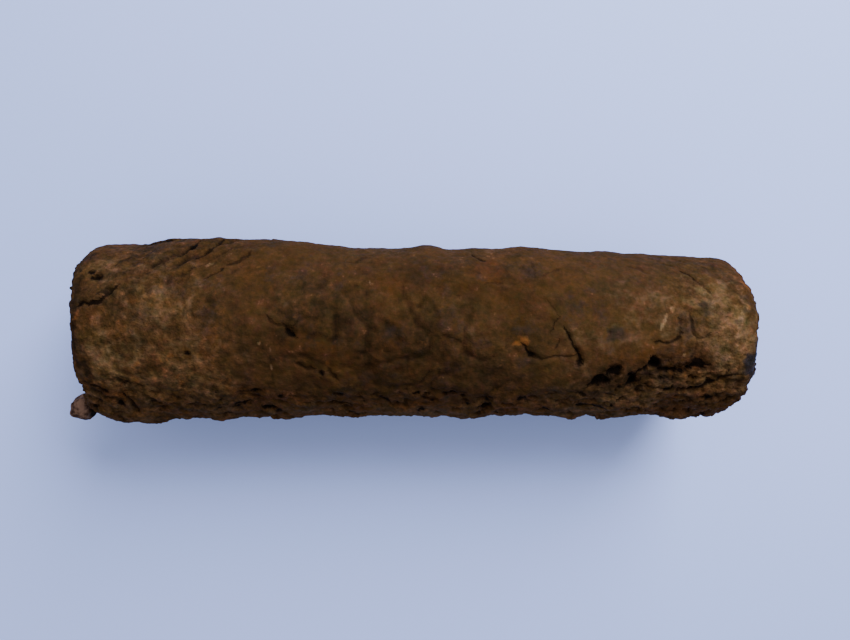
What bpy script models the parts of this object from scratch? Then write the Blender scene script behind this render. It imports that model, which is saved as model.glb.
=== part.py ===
"""Length of corroded iron pipe with a small stone stuck to one end.

The pipe lies along X on the surface at Z = 0, with its square end towards +X.
Its wall is one body of iron and rust: a turned tube, swollen by lumps of rust
crust outside and narrowed by rust inside. Metres, +Z up. The origin is below
the middle of the whole, on the surface that it lies on.
"""

from dataclasses import dataclass
from math import atan2, cos, hypot, pi, radians, remainder, sin, tan, tanh

import bmesh
import bpy
from mathutils import Vector, noise

MM = 0.001

# The iron pipe, as it was made and as it has wasted away.
PIPE_LENGTH = 187.5 * MM
OUTER_RADIUS_LEFT = 24.95 * MM
OUTER_RADIUS_RIGHT = 23.65 * MM
WASTING_POWER = 3
PIPE_BORE_RADIUS = 20.4 * MM

# The ends: the right one is square, the left one leans inwards at the top.
RIGHT_EDGE_ROUND = 4.2 * MM
LEFT_EDGE_ROUND = 4.0 * MM
LEFT_END_LEAN = radians(8.5)
LEAN_FADES_OVER = 26 * MM
LEFT_END_BUMPS_FADE_OVER = 12 * MM
BORE_EDGE_BEVEL = 0.7 * MM

# Rust inside the bore, and its waves.
BORE_RUST = 3.7 * MM
BORE_WAVE_HEIGHT = 0.75 * MM
BORE_WAVE_LENGTH = 19 * MM

# Small waves of the crust outside, between its lumps, and the steps of broken
# rust that stand on the near side and, lower, underneath.
CRUST_WAVE_HEIGHT = 0.32 * MM
CRUST_WAVE_LENGTH = 13 * MM
BROKEN_STEP_HEIGHT = 0.65 * MM
BROKEN_STEP_LENGTH = 9.5 * MM
BROKEN_STEP_SHARPNESS = 2.6
NEAR_SIDE = radians(172)
UNDERSIDE_SHARE = 0.55

# Fineness of the mesh.
SIDES = 60
CRUST_RING_SPACING = 3.1 * MM
BORE_RING_SPACING = 12 * MM
EDGE_ROUND_STEPS = 4

# The neck of rust that holds the stone, and the stone. The angle runs round
# the pipe from +Y through +Z; the distance is from the pipe's axis.
STONE_ANGLE = radians(175)
STONE_FROM_AXIS = OUTER_RADIUS_LEFT - 1.65 * MM
NECK_LENGTH = 1.6 * MM
NECK_SPREAD = 7.5 * MM
STONE_LENGTH = 6.8 * MM
STONE_WIDTH = 7.9 * MM
STONE_HEIGHT = 6.6 * MM
STONE_SUNK_IN_NECK = 1.5 * MM
STONE_WAVE_HEIGHT = 0.45 * MM
STONE_WAVE_LENGTH = 5 * MM
SEAT_GAP = 0.3 * MM


@dataclass(frozen=True)
class Lump:
    """One swelling of the crust, or a hollow where its height is negative.

    Lengths are in metres. The place is given along the pipe from its middle,
    and by the angle round it in degrees, from +Y through +Z. The slant turns
    the lump's own length, in degrees from +X towards rising angle.
    """

    along: float
    angle: float
    half_length: float
    half_width: float
    height: float
    slant: float = 0

    def rise(self, along: float, angle: float, radius: float) -> float:
        """Height of this swelling at one place on the pipe."""
        right = along - self.along
        up = remainder(angle - radians(self.angle), 2 * pi) * radius
        turn = radians(self.slant)
        length = (right * cos(turn) + up * sin(turn)) / self.half_length
        width = (up * cos(turn) - right * sin(turn)) / self.half_width
        distance = hypot(length, width)
        return self.height * (1 - distance**2) ** 2 if distance < 1 else 0.0


@dataclass(frozen=True)
class EndBump:
    """A stretch of the left end that stands out, or has broken off below 0.

    It is centred on an angle, and runs out over a half angle, in degrees.
    """

    angle: float
    half_angle: float
    height: float

    def rise(self, angle: float) -> float:
        """How far the end stands out at one angle round the pipe."""
        distance = remainder(angle - radians(self.angle), 2 * pi) / radians(self.half_angle)
        return self.height * (1 - distance**2) ** 2 if abs(distance) < 1 else 0.0


LEFT_END_BUMPS = (
    EndBump(48, 28, 1.3 * MM),
    EndBump(94, 16, -0.6 * MM),
    EndBump(139, 15, -0.8 * MM),
    EndBump(236, 34, -1.0 * MM),
    EndBump(305, 40, 0.8 * MM),
)
FAR_SIDE_LUMPS = (
    Lump(-72.5 * MM, 6, 5.5 * MM, 6 * MM, 0.7 * MM),
    Lump(-67.5 * MM, 5, 4 * MM, 6 * MM, 0.5 * MM),
    Lump(-63 * MM, 6, 16 * MM, 20 * MM, 1.75 * MM),
    Lump(-57.5 * MM, 5, 4.5 * MM, 8 * MM, 0.5 * MM),
    Lump(-44 * MM, 6, 18 * MM, 20 * MM, 2.4 * MM),
    Lump(-29 * MM, 6, 11 * MM, 15 * MM, 1.1 * MM),
    Lump(2 * MM, 6, 13 * MM, 12 * MM, 0.5 * MM),
    Lump(4 * MM, 6, 7.5 * MM, 9 * MM, 1.2 * MM),
    Lump(18 * MM, 6, 8 * MM, 9 * MM, 1.2 * MM),
    Lump(32 * MM, 6, 13 * MM, 13 * MM, 1.6 * MM),
    Lump(44 * MM, 6, 9 * MM, 8 * MM, 0.8 * MM),
    Lump(56 * MM, 6, 7.5 * MM, 8 * MM, 1.05 * MM),
    Lump(66.5 * MM, 6, 6 * MM, 7 * MM, 0.7 * MM),
    Lump(77 * MM, 6, 8 * MM, 8 * MM, 0.5 * MM),
)
NEAR_SIDE_LUMPS = (
    Lump(-91 * MM, 170, 3 * MM, 5 * MM, 0.6 * MM),
    Lump(-85.5 * MM, 168, 4 * MM, 7 * MM, 1.3 * MM),
    Lump(-79 * MM, 167, 10 * MM, 16 * MM, 2.7 * MM),
    Lump(-73.5 * MM, 168, 5.5 * MM, 9 * MM, 1.6 * MM),
    Lump(-64 * MM, 150, 30 * MM, 30 * MM, 0.5 * MM),
    Lump(-56 * MM, 169, 4.5 * MM, 9 * MM, 1.6 * MM),
    Lump(-37.5 * MM, 169, 5.5 * MM, 9 * MM, 1.4 * MM),
    Lump(-29 * MM, 165, 6 * MM, 9 * MM, -0.3 * MM),
    Lump(-17 * MM, 167, 6 * MM, 8 * MM, 0.4 * MM),
    Lump(-4 * MM, 166, 6 * MM, 8 * MM, -0.6 * MM),
    Lump(16 * MM, 168, 4.5 * MM, 8 * MM, 0.7 * MM),
    Lump(28 * MM, 167, 7 * MM, 9 * MM, 0.5 * MM),
    Lump(40.5 * MM, 168, 6 * MM, 9 * MM, 0.6 * MM),
    Lump(46 * MM, 168, 4.8 * MM, 9 * MM, 2.2 * MM),
    Lump(56 * MM, 168, 4.2 * MM, 8 * MM, 1.4 * MM),
    Lump(61 * MM, 168, 6 * MM, 8 * MM, 0.5 * MM),
    Lump(68 * MM, 166, 5 * MM, 9 * MM, -0.6 * MM),
    Lump(77 * MM, 168, 6.5 * MM, 10 * MM, 1.9 * MM),
    Lump(88.5 * MM, 167, 6 * MM, 8 * MM, 0.9 * MM),
)
TOP_LUMPS = (
    Lump(-80 * MM, 62, 14 * MM, 13 * MM, 0.7 * MM),
    Lump(-28 * MM, 104, 17 * MM, 12 * MM, 0.5 * MM),
    Lump(12 * MM, 66, 22 * MM, 14 * MM, 0.6 * MM),
    Lump(52 * MM, 110, 17 * MM, 14 * MM, 0.7 * MM),
    Lump(84 * MM, 74, 13 * MM, 16 * MM, 0.6 * MM),
)
UNDERSIDE_LUMPS = (
    Lump(-66 * MM, 254, 16 * MM, 10 * MM, 1.7 * MM),
    Lump(-34 * MM, 287, 14 * MM, 9 * MM, 1.0 * MM),
    Lump(3 * MM, 286, 16 * MM, 10 * MM, 2.05 * MM),
    Lump(36 * MM, 252, 13 * MM, 9 * MM, 1.1 * MM),
    Lump(69 * MM, 254, 15 * MM, 10 * MM, 2.78 * MM),
    Lump(-10 * MM, 222, 17 * MM, 14 * MM, 0.9 * MM),
    Lump(52 * MM, 316, 16 * MM, 14 * MM, 0.9 * MM),
)
# Torn grain on the left of the top: three slits with ridges between them.
TORN_GRAIN = (
    Lump(-66.5 * MM, 33, 6 * MM, 3 * MM, 0.7 * MM, -48),
    Lump(-62.6 * MM, 27.5, 6 * MM, 3.1 * MM, -1.2 * MM, -48),
    Lump(-58.8 * MM, 31.5, 6 * MM, 3 * MM, 0.9 * MM, -45),
    Lump(-55 * MM, 34, 6 * MM, 3.1 * MM, -1.2 * MM, -43),
    Lump(-51.8 * MM, 37, 6 * MM, 3 * MM, 0.8 * MM, -38),
    Lump(-48 * MM, 38.5, 6 * MM, 2.8 * MM, -1.1 * MM, -30),
)
# Where the skin on top has cracked open or sunk in, from left to right.
TOP_HOLLOWS = (
    Lump(-83.3 * MM, 55.5, 3.2 * MM, 2.8 * MM, -0.9 * MM),
    Lump(-81 * MM, 70, 6 * MM, 2.8 * MM, -0.8 * MM, -21),
    Lump(-33.5 * MM, 84, 4.2 * MM, 3.8 * MM, -1.1 * MM),
    Lump(-28 * MM, 108, 5 * MM, 3.2 * MM, -0.7 * MM),
    Lump(-23 * MM, 52, 4 * MM, 5 * MM, -0.4 * MM),
    Lump(-10 * MM, 97.5, 4 * MM, 3.4 * MM, -0.7 * MM),
    Lump(-6 * MM, 86.5, 6.5 * MM, 3.2 * MM, -0.8 * MM, 58),
    Lump(19.8 * MM, 57, 3.2 * MM, 3.4 * MM, -0.6 * MM),
    Lump(30.3 * MM, 98, 5 * MM, 2.8 * MM, -0.8 * MM, 47),
    Lump(36.5 * MM, 100.5, 5 * MM, 2.8 * MM, -0.5 * MM),
    Lump(42 * MM, 95, 6.5 * MM, 2.8 * MM, -1.2 * MM, 70),
    Lump(70 * MM, 81, 7 * MM, 2.8 * MM, -0.6 * MM, 90),
    Lump(74.5 * MM, 91, 7.5 * MM, 2.8 * MM, -0.6 * MM, 90),
    Lump(76.2 * MM, 41.5, 5.5 * MM, 2.8 * MM, -0.8 * MM, 62),
)
# Ledges and gaps of the broken rust, low on the near side.
NEAR_SIDE_LEDGES = (
    Lump(-85 * MM, 150, 5 * MM, 6 * MM, 0.6 * MM),
    Lump(-77 * MM, 140, 4 * MM, 7 * MM, -0.9 * MM),
    Lump(-68 * MM, 146, 7 * MM, 4 * MM, 0.6 * MM),
    Lump(-60 * MM, 151, 6 * MM, 4 * MM, -0.7 * MM),
    Lump(-44 * MM, 143, 9 * MM, 3.6 * MM, -1.0 * MM),
    Lump(-32 * MM, 151, 8 * MM, 5 * MM, 0.8 * MM),
    Lump(-21 * MM, 141, 6 * MM, 3.2 * MM, -0.9 * MM),
    Lump(-8 * MM, 150, 9 * MM, 5 * MM, 0.7 * MM),
    Lump(2.5 * MM, 130, 4.5 * MM, 3.4 * MM, -0.9 * MM),
    Lump(10 * MM, 131, 4.5 * MM, 3.2 * MM, -0.9 * MM),
    Lump(12 * MM, 148, 8 * MM, 4.5 * MM, 0.6 * MM),
    Lump(20 * MM, 140, 6 * MM, 3.4 * MM, -0.8 * MM),
    Lump(31 * MM, 147, 9 * MM, 4.5 * MM, 0.7 * MM),
)
# Jagged openings under the smooth skin near the right end, and what is round them.
RIGHT_OPENINGS = (
    Lump(50.6 * MM, 114.5, 6 * MM, 3 * MM, -1.8 * MM, -43),
    Lump(54.8 * MM, 116, 5.5 * MM, 2.8 * MM, 0.7 * MM, -45),
    Lump(58.4 * MM, 115.5, 5 * MM, 2.8 * MM, -1.4 * MM, -50),
    Lump(65.5 * MM, 108, 5.5 * MM, 3.2 * MM, -1.8 * MM, 58),
    Lump(81.5 * MM, 110, 7 * MM, 4.5 * MM, 0.5 * MM, -30),
    Lump(80 * MM, 120, 6 * MM, 3 * MM, -1.0 * MM, -48),
    Lump(66.5 * MM, 124, 5 * MM, 3.2 * MM, -0.7 * MM),
    Lump(55 * MM, 128, 5 * MM, 3.2 * MM, -0.7 * MM),
    Lump(54 * MM, 137, 5 * MM, 4 * MM, 0.7 * MM),
    Lump(66 * MM, 134, 5 * MM, 4 * MM, 0.6 * MM),
    Lump(80 * MM, 135, 6 * MM, 5 * MM, 0.6 * MM),
    Lump(48.5 * MM, 144, 5 * MM, 3.5 * MM, -1.2 * MM),
    Lump(60.5 * MM, 145, 4.5 * MM, 3.2 * MM, -1.0 * MM),
    Lump(73 * MM, 141, 5 * MM, 3.4 * MM, -0.8 * MM),
)
BROKEN_CORNERS = (
    Lump(-92 * MM, 128, 8 * MM, 15 * MM, -1.9 * MM),
    Lump(92 * MM, 30, 6 * MM, 12 * MM, -0.7 * MM),
)
CRUST_LUMPS = (
    *FAR_SIDE_LUMPS,
    *NEAR_SIDE_LUMPS,
    *TOP_LUMPS,
    *UNDERSIDE_LUMPS,
    *TORN_GRAIN,
    *TOP_HOLLOWS,
    *NEAR_SIDE_LEDGES,
    *RIGHT_OPENINGS,
    *BROKEN_CORNERS,
)


def clear_scene() -> None:
    """Remove every object, so that the script can be run again."""
    for thing in list(bpy.data.objects):
        bpy.data.objects.remove(thing, do_unlink=True)


def make_collection(name: str) -> bpy.types.Collection:
    """Make a collection in the scene, or empty the one of that name."""
    collection = bpy.data.collections.get(name) or bpy.data.collections.new(name)
    if name not in bpy.context.scene.collection.children:
        bpy.context.scene.collection.children.link(collection)
    return collection


def make_material(name: str, colour: tuple[float, float, float], roughness: float) -> bpy.types.Material:
    """Make a plain material of one linear colour."""
    material = bpy.data.materials.new(name)
    material.use_nodes = True
    surface = material.node_tree.nodes["Principled BSDF"]
    surface.inputs["Base Color"].default_value = (*colour, 1)
    surface.inputs["Roughness"].default_value = roughness
    surface.inputs["Metallic"].default_value = 0
    return material


def outer_radius(along: float) -> float:
    """Radius of the wasted iron at a distance along the pipe from its middle."""
    share = min(max(along / PIPE_LENGTH + 0.5, 0), 1)
    return OUTER_RADIUS_LEFT + (OUTER_RADIUS_RIGHT - OUTER_RADIUS_LEFT) * share**WASTING_POWER


def stations(start: float, stop: float, spacing: float) -> list[float]:
    """Places from start to stop, both included, no further apart than the spacing."""
    count = max(1, round(abs(stop - start) / spacing))
    return [start + (stop - start) * step / count for step in range(count + 1)]


def tube_outline() -> list[tuple[float, float]]:
    """Section of the wall as (radius, along), down the outside and up the bore."""
    top = PIPE_LENGTH / 2
    bottom = -PIPE_LENGTH / 2
    bore = PIPE_BORE_RADIUS - BORE_RUST
    right_shoulder = top - RIGHT_EDGE_ROUND
    left_shoulder = bottom + LEFT_EDGE_ROUND
    points = []
    for step in range(EDGE_ROUND_STEPS):
        turn = pi / 2 * step / EDGE_ROUND_STEPS
        centre = outer_radius(right_shoulder) - RIGHT_EDGE_ROUND
        points.append((centre + RIGHT_EDGE_ROUND * sin(turn), right_shoulder + RIGHT_EDGE_ROUND * cos(turn)))
    for along in stations(right_shoulder, left_shoulder, CRUST_RING_SPACING):
        points.append((outer_radius(along), along))
    for step in range(1, EDGE_ROUND_STEPS + 1):
        turn = pi / 2 * step / EDGE_ROUND_STEPS
        centre = outer_radius(left_shoulder) - LEFT_EDGE_ROUND
        points.append((centre + LEFT_EDGE_ROUND * cos(turn), left_shoulder - LEFT_EDGE_ROUND * sin(turn)))
    points.append((bore + BORE_EDGE_BEVEL, bottom))
    for along in stations(bottom + BORE_EDGE_BEVEL, top - BORE_EDGE_BEVEL, BORE_RING_SPACING):
        points.append((bore, along))
    points.append((bore + BORE_EDGE_BEVEL, top))
    return points


def turned_tube(name: str) -> bpy.types.Mesh:
    """Turn the wall's section round the Z axis into a closed mesh."""
    outline = tube_outline()
    section = bpy.data.meshes.new(name + "_section")
    edges = [(index, (index + 1) % len(outline)) for index in range(len(outline))]
    section.from_pydata([(radius, 0, along) for radius, along in outline], edges, [])
    turned = bpy.data.objects.new(name + "_turned", section)
    bpy.context.scene.collection.objects.link(turned)
    screw = turned.modifiers.new("turn", "SCREW")
    screw.axis = "Z"
    screw.angle = 2 * pi
    screw.steps = SIDES
    screw.render_steps = SIDES
    screw.use_merge_vertices = True
    screw.merge_threshold = 0.000001
    bpy.context.view_layer.update()
    mesh = bpy.data.meshes.new_from_object(turned.evaluated_get(bpy.context.evaluated_depsgraph_get()))
    mesh.name = name
    bpy.data.objects.remove(turned, do_unlink=True)
    return mesh


def broken_share(angle: float) -> float:
    """How broken the crust is: most on the near side, some underneath, none on top."""
    near = max(0, cos(angle - NEAR_SIDE)) ** 2
    under = max(0, -sin(angle)) ** 2
    return near + UNDERSIDE_SHARE * under


def crust_rise(along: float, angle: float) -> float:
    """How far the crust stands out from the wasted iron, at one place outside."""
    radius = outer_radius(along)
    lumps = sum(lump.rise(along, angle, radius) for lump in CRUST_LUMPS)
    place = Vector((along, radius * cos(angle), radius * sin(angle)))
    wave = CRUST_WAVE_HEIGHT * noise.noise(place / CRUST_WAVE_LENGTH)
    step = BROKEN_STEP_HEIGHT * tanh(BROKEN_STEP_SHARPNESS * noise.noise(place / BROKEN_STEP_LENGTH))
    return lumps + wave + step * broken_share(angle)


def bore_rise(along: float, angle: float) -> float:
    """How far the rust in the bore stands back from its mean, at one place."""
    place = Vector((along, PIPE_BORE_RADIUS * cos(angle), PIPE_BORE_RADIUS * sin(angle)))
    offset = Vector((3.7, 1.9, 5.3))
    return BORE_WAVE_HEIGHT * noise.noise(place / BORE_WAVE_LENGTH + offset)


def lean_shift(along: float, height: float) -> float:
    """Shift along the pipe that makes its left end lean, fading out inwards."""
    room = min(max(1 - (along + PIPE_LENGTH / 2) / LEAN_FADES_OVER, 0), 1)
    return tan(LEFT_END_LEAN) * height * room * room * (3 - 2 * room)


def left_end_rise(along: float, angle: float) -> float:
    """How far the uneven left end moves outwards, fading out along the pipe."""
    room = min(max(1 - (along + PIPE_LENGTH / 2) / LEFT_END_BUMPS_FADE_OVER, 0), 1)
    return room * room * (3 - 2 * room) * sum(bump.rise(angle) for bump in LEFT_END_BUMPS)


def neck_rise(across: float, height: float) -> float:
    """How far the neck of rust stands out from the left end at one place on it."""
    away_y = across - STONE_FROM_AXIS * cos(STONE_ANGLE)
    away_z = height - STONE_FROM_AXIS * sin(STONE_ANGLE)
    share = 1 - (hypot(away_y, away_z) / NECK_SPREAD) ** 2
    return NECK_LENGTH * share**2 if share > 0 else 0.0


def add_crust(mesh: bpy.types.Mesh) -> None:
    """Move the turned tube's points to the rusted surface.

    The tube stands along Z here. Laid down, its local Z becomes +X, its local
    Y stays +Y and its local X points down.
    """
    middle = (PIPE_BORE_RADIUS + OUTER_RADIUS_RIGHT - RIGHT_EDGE_ROUND) / 2
    left_face = -PIPE_LENGTH / 2
    for vertex in mesh.vertices:
        across, height, along = vertex.co.y, -vertex.co.x, vertex.co.z
        radius = hypot(across, height)
        angle = atan2(height, across)
        is_bore = radius < PIPE_BORE_RADIUS - BORE_RUST + BORE_EDGE_BEVEL / 2
        if is_bore:
            radius += bore_rise(along, angle)
        elif radius > middle:
            share = min(1, (radius - middle) / (outer_radius(along) - middle))
            radius += crust_rise(along, angle) * share
        across, height = radius * cos(angle), radius * sin(angle)
        if not is_bore and along < left_face + LEFT_EDGE_ROUND:
            along -= neck_rise(across, height)
        along += lean_shift(max(along, left_face), height) - left_end_rise(along, angle)
        vertex.co = (-height, across, along)


def make_pipe(collection: bpy.types.Collection, frame: bpy.types.Object) -> bpy.types.Object:
    """Make the pipe, laid along X, with its axis through the frame's origin."""
    mesh = turned_tube("corroded_pipe")
    add_crust(mesh)
    mesh.materials.clear()
    mesh.materials.append(make_material("rusted_iron", (0.065, 0.034, 0.015), 0.92))
    mesh.shade_smooth()
    mesh.set_sharp_from_angle(angle=radians(50))
    pipe = bpy.data.objects.new("corroded_pipe", mesh)
    pipe.rotation_euler = (0, pi / 2, 0)
    pipe.parent = frame
    collection.objects.link(pipe)
    return pipe


def make_seat_cutter(pipe: bpy.types.Object, collection: bpy.types.Collection) -> bpy.types.Object:
    """Make a copy of the pipe that is thicker by the gap the stone keeps to it."""
    mesh = pipe.data.copy()
    mesh.name = "stone_seat_cutter"
    shape = bmesh.new()
    shape.from_mesh(mesh)
    shape.normal_update()
    for vertex in shape.verts:
        vertex.co += vertex.normal * SEAT_GAP
    shape.to_mesh(mesh)
    shape.free()
    cutter = bpy.data.objects.new("stone_seat_cutter", mesh)
    cutter.rotation_euler = pipe.rotation_euler
    cutter.parent = pipe.parent
    cutter.hide_render = True
    cutter.display_type = "WIRE"
    collection.objects.link(cutter)
    return cutter


def make_stone(
    collection: bpy.types.Collection, frame: bpy.types.Object, seat_cutter: bpy.types.Object
) -> bpy.types.Object:
    """Make the worn pebble, cut to the neck of rust that it sits in."""
    shape = bmesh.new()
    bmesh.ops.create_icosphere(shape, subdivisions=3, radius=0.5)
    half = Vector((STONE_LENGTH, STONE_WIDTH, STONE_HEIGHT))
    for vertex in shape.verts:
        wave = STONE_WAVE_HEIGHT * noise.noise(vertex.co * half.y / STONE_WAVE_LENGTH)
        vertex.co = Vector(vertex.co * half) + vertex.co.normalized() * wave
    mesh = bpy.data.meshes.new("cemented_stone")
    shape.to_mesh(mesh)
    shape.free()
    mesh.materials.append(make_material("grey_brown_pebble", (0.17, 0.13, 0.10), 0.45))
    mesh.shade_smooth()
    stone = bpy.data.objects.new("cemented_stone", mesh)
    height = STONE_FROM_AXIS * sin(STONE_ANGLE)
    end_face = -PIPE_LENGTH / 2 + lean_shift(-PIPE_LENGTH / 2, height)
    tip_of_neck = end_face - NECK_LENGTH
    stone.location = (
        tip_of_neck + STONE_SUNK_IN_NECK - STONE_LENGTH / 2,
        STONE_FROM_AXIS * cos(STONE_ANGLE),
        height,
    )
    stone.rotation_euler = (radians(12), radians(-6), radians(20))
    stone.parent = frame
    collection.objects.link(stone)
    seat = stone.modifiers.new("seat", "BOOLEAN")
    seat.operation = "DIFFERENCE"
    seat.solver = "EXACT"
    seat.object = seat_cutter
    return stone


def world_corners(pieces: list[bpy.types.Object]) -> tuple[Vector, Vector]:
    """Lowest and highest corner of the box round the evaluated pieces."""
    bpy.context.view_layer.update()
    graph = bpy.context.evaluated_depsgraph_get()
    points = []
    for piece in pieces:
        seen = piece.evaluated_get(graph)
        mesh = seen.to_mesh()
        points.extend(seen.matrix_world @ vertex.co for vertex in mesh.vertices)
        seen.to_mesh_clear()
    low = Vector(min(point[axis] for point in points) for axis in range(3))
    high = Vector(max(point[axis] for point in points) for axis in range(3))
    return low, high


def main() -> None:
    """Build the pipe and its stone, and set them down on the surface."""
    clear_scene()
    pieces = make_collection("corroded_pipe_with_stone")
    cutters = make_collection("cutters")
    frame = bpy.data.objects.new("pipe_axis", None)
    pieces.objects.link(frame)
    pipe = make_pipe(pieces, frame)
    cutter = make_seat_cutter(pipe, cutters)
    stone = make_stone(pieces, frame, cutter)
    low, high = world_corners([pipe, stone])
    middle = (low + high) / 2
    frame.location = (-middle.x, -middle.y, -low.z)
    bpy.context.view_layer.update()


main()
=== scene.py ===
"""Dressed model of a short corroded iron pipe with a stone stuck to one end.

The rusted surface is one closed mesh that is grown over the pipe's solid: its
swellings come from the solid, and the cracks, torn grain, pits, lifted scale
and grit come from this file. Places on the pipe are given as millimetres
along it from its middle and as degrees round it, from +Y through +Z.
"""

import logging
from dataclasses import dataclass, field
from enum import Enum
from typing import Any, ClassVar

import bmesh
import bpy
import numpy as np
from mathutils import Matrix, Vector
from mathutils.bvhtree import BVHTree


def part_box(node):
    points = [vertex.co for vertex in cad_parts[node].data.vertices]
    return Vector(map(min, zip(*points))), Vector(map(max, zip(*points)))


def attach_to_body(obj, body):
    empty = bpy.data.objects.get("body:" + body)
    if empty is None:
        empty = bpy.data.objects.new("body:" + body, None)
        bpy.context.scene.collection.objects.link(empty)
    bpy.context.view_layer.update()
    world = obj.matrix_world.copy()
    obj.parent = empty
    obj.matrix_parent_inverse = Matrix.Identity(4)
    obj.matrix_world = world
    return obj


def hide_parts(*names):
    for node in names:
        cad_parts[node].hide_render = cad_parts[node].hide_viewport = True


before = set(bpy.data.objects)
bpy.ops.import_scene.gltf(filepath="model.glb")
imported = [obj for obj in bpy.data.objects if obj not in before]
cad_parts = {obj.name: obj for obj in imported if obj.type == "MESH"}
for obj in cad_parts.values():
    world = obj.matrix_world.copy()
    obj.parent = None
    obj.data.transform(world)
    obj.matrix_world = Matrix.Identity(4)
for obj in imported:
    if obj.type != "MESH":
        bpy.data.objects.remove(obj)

MM = 0.001
PIPE = "corroded_pipe"
STONE = "cemented_stone"
LOG = logging.getLogger("corroded_pipe")

# The iron's length, and how its left end leans inwards at the top.
PIPE_LENGTH = 187.5 * MM
END_LEAN = np.tan(np.radians(8.5))
LEAN_FADES_OVER = 26 * MM

Array = np.ndarray
Socket = bpy.types.NodeSocket
Tree = bpy.types.NodeTree
Point = tuple[float, float, float]
# Millimetres along the pipe from its middle, and degrees round it.
Place = tuple[float, float]

# The kinds of node, and the settings, that the finishes use most.
MATH = "ShaderNodeMath"
VECTOR_MATH = "ShaderNodeVectorMath"
MAP_RANGE = "ShaderNodeMapRange"
MIX = "ShaderNodeMix"
COLOURS = {"data_type": "RGBA"}
MULTIPLY = {"operation": "MULTIPLY"}
MULTIPLY_ADD = {"operation": "MULTIPLY_ADD"}


def linear(code: str, alpha: float = 1.0) -> tuple[float, float, float, float]:
    """Turn an sRGB hex colour into the linear one that a shader takes.

    Args:
        code: The colour as "#RRGGBB".
        alpha: The fourth value.

    Returns:
        Linear red, green, blue and alpha.
    """
    parts = [int(code[start : start + 2], 16) / 255 for start in (1, 3, 5)]
    red, green, blue = (c / 12.92 if c <= 0.04045 else ((c + 0.055) / 1.055) ** 2.4 for c in parts)
    return red, green, blue, alpha


def add_node(
    tree: Tree,
    kind: str,
    settings: dict[str, Any] | None = None,
    inputs: dict[str | int, Any] | None = None,
) -> bpy.types.Node:
    """Add one node, with its settings, and its sockets set or linked.

    Args:
        tree: The node tree to add to.
        kind: Blender's name for the kind of node.
        settings: Values for the node's own properties.
        inputs: For each socket a value, or the output socket to link from.

    Returns:
        The new node.
    """
    node = tree.nodes.new(kind)
    for name, value in (settings or {}).items():
        setattr(node, name, value)
    for name, value in (inputs or {}).items():
        if isinstance(value, Socket):
            tree.links.new(value, node.inputs[name])
        else:
            node.inputs[name].default_value = value
    return node


def smooth_step(low: float, high: float, values: Array) -> Array:
    """Rise smoothly from 0 at low to 1 at high."""
    share = np.clip((values - low) / (high - low), 0, 1)
    return share * share * (3 - 2 * share)


class Noise:
    """Repeatable smooth noise in space, sized in millimetres."""

    TABLE = 4096
    # Brings the noise to between about -1 and 1.
    FULL_SWING = 1.6
    # Millimetres between the places that two layers read, so that they differ.
    LAYER_SHIFT = 31.7

    def __init__(self, seed: int) -> None:
        """Draw the table of directions for this seed.

        Args:
            seed: The number that the draw starts from.
        """
        draw = np.random.default_rng(seed)
        directions = draw.normal(size=(self.TABLE, 3))
        self.directions = directions / np.linalg.norm(directions, axis=1, keepdims=True)
        self.order = draw.permutation(self.TABLE)

    def at(self, points: Array, size: float) -> Array:
        """Noise between about -1 and 1 at each point.

        Args:
            points: Places in millimetres, the last axis being X, Y and Z.
            size: Distance between one swell and the next, in millimetres.

        Returns:
            One value for each point.
        """
        scaled = points / size
        cell = np.floor(scaled).astype(np.int64)
        inside = scaled - cell
        blend = inside**3 * (inside * (inside * 6 - 15) + 10)
        total = np.zeros(points.shape[:-1])
        for corner in np.ndindex(2, 2, 2):
            corner_cell = cell + corner
            index = corner_cell[..., 0] % self.TABLE
            index = self.order[(self.order[index] + corner_cell[..., 1]) % self.TABLE]
            index = self.order[(index + corner_cell[..., 2]) % self.TABLE]
            offset = inside - corner
            value = np.sum(self.directions[index] * offset, axis=-1)
            weight = np.prod(np.where(np.array(corner) == 1, blend, 1 - blend), axis=-1)
            total += weight * value
        return total * self.FULL_SWING

    def layered(self, points: Array, size: float, layers: int, fade: float = 0.5) -> Array:
        """Add up finer and fainter layers of noise.

        Args:
            points: Places in millimetres.
            size: Size of the coarsest layer, in millimetres.
            layers: How many layers, each half the size of the last.
            fade: Strength of each layer against the one before.

        Returns:
            One value for each point.
        """
        total = np.zeros(points.shape[:-1])
        strength = 1.0
        for layer in range(layers):
            total += strength * self.at(points + self.LAYER_SHIFT * layer, size / 2**layer)
            strength *= fade
        return total


@dataclass
class Ground:
    """Places on the pipe's surface, as the relief and its masks read them.

    Attributes:
        along: Millimetres along the pipe from its middle.
        angle: Degrees round it, from +Y through +Z, 0 to 360.
        points: The same places in millimetres, in the pipe's own axes.
        outside: 1 on the outer surface, falling to 0 on the end faces.
        bore: 1 in the bore and 0 elsewhere.
        mean_radius: Radius at which degrees are turned into millimetres.
    """

    along: Array
    angle: Array
    points: Array
    outside: Array
    bore: Array
    mean_radius: float = 25.1

    def flat(self, place: Place) -> tuple[Array, Array]:
        """Millimetres along and round the pipe from one place to each point."""
        turned = (self.angle - place[1] + 180) % 360 - 180
        return self.along - place[0], np.radians(turned) * self.mean_radius


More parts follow.
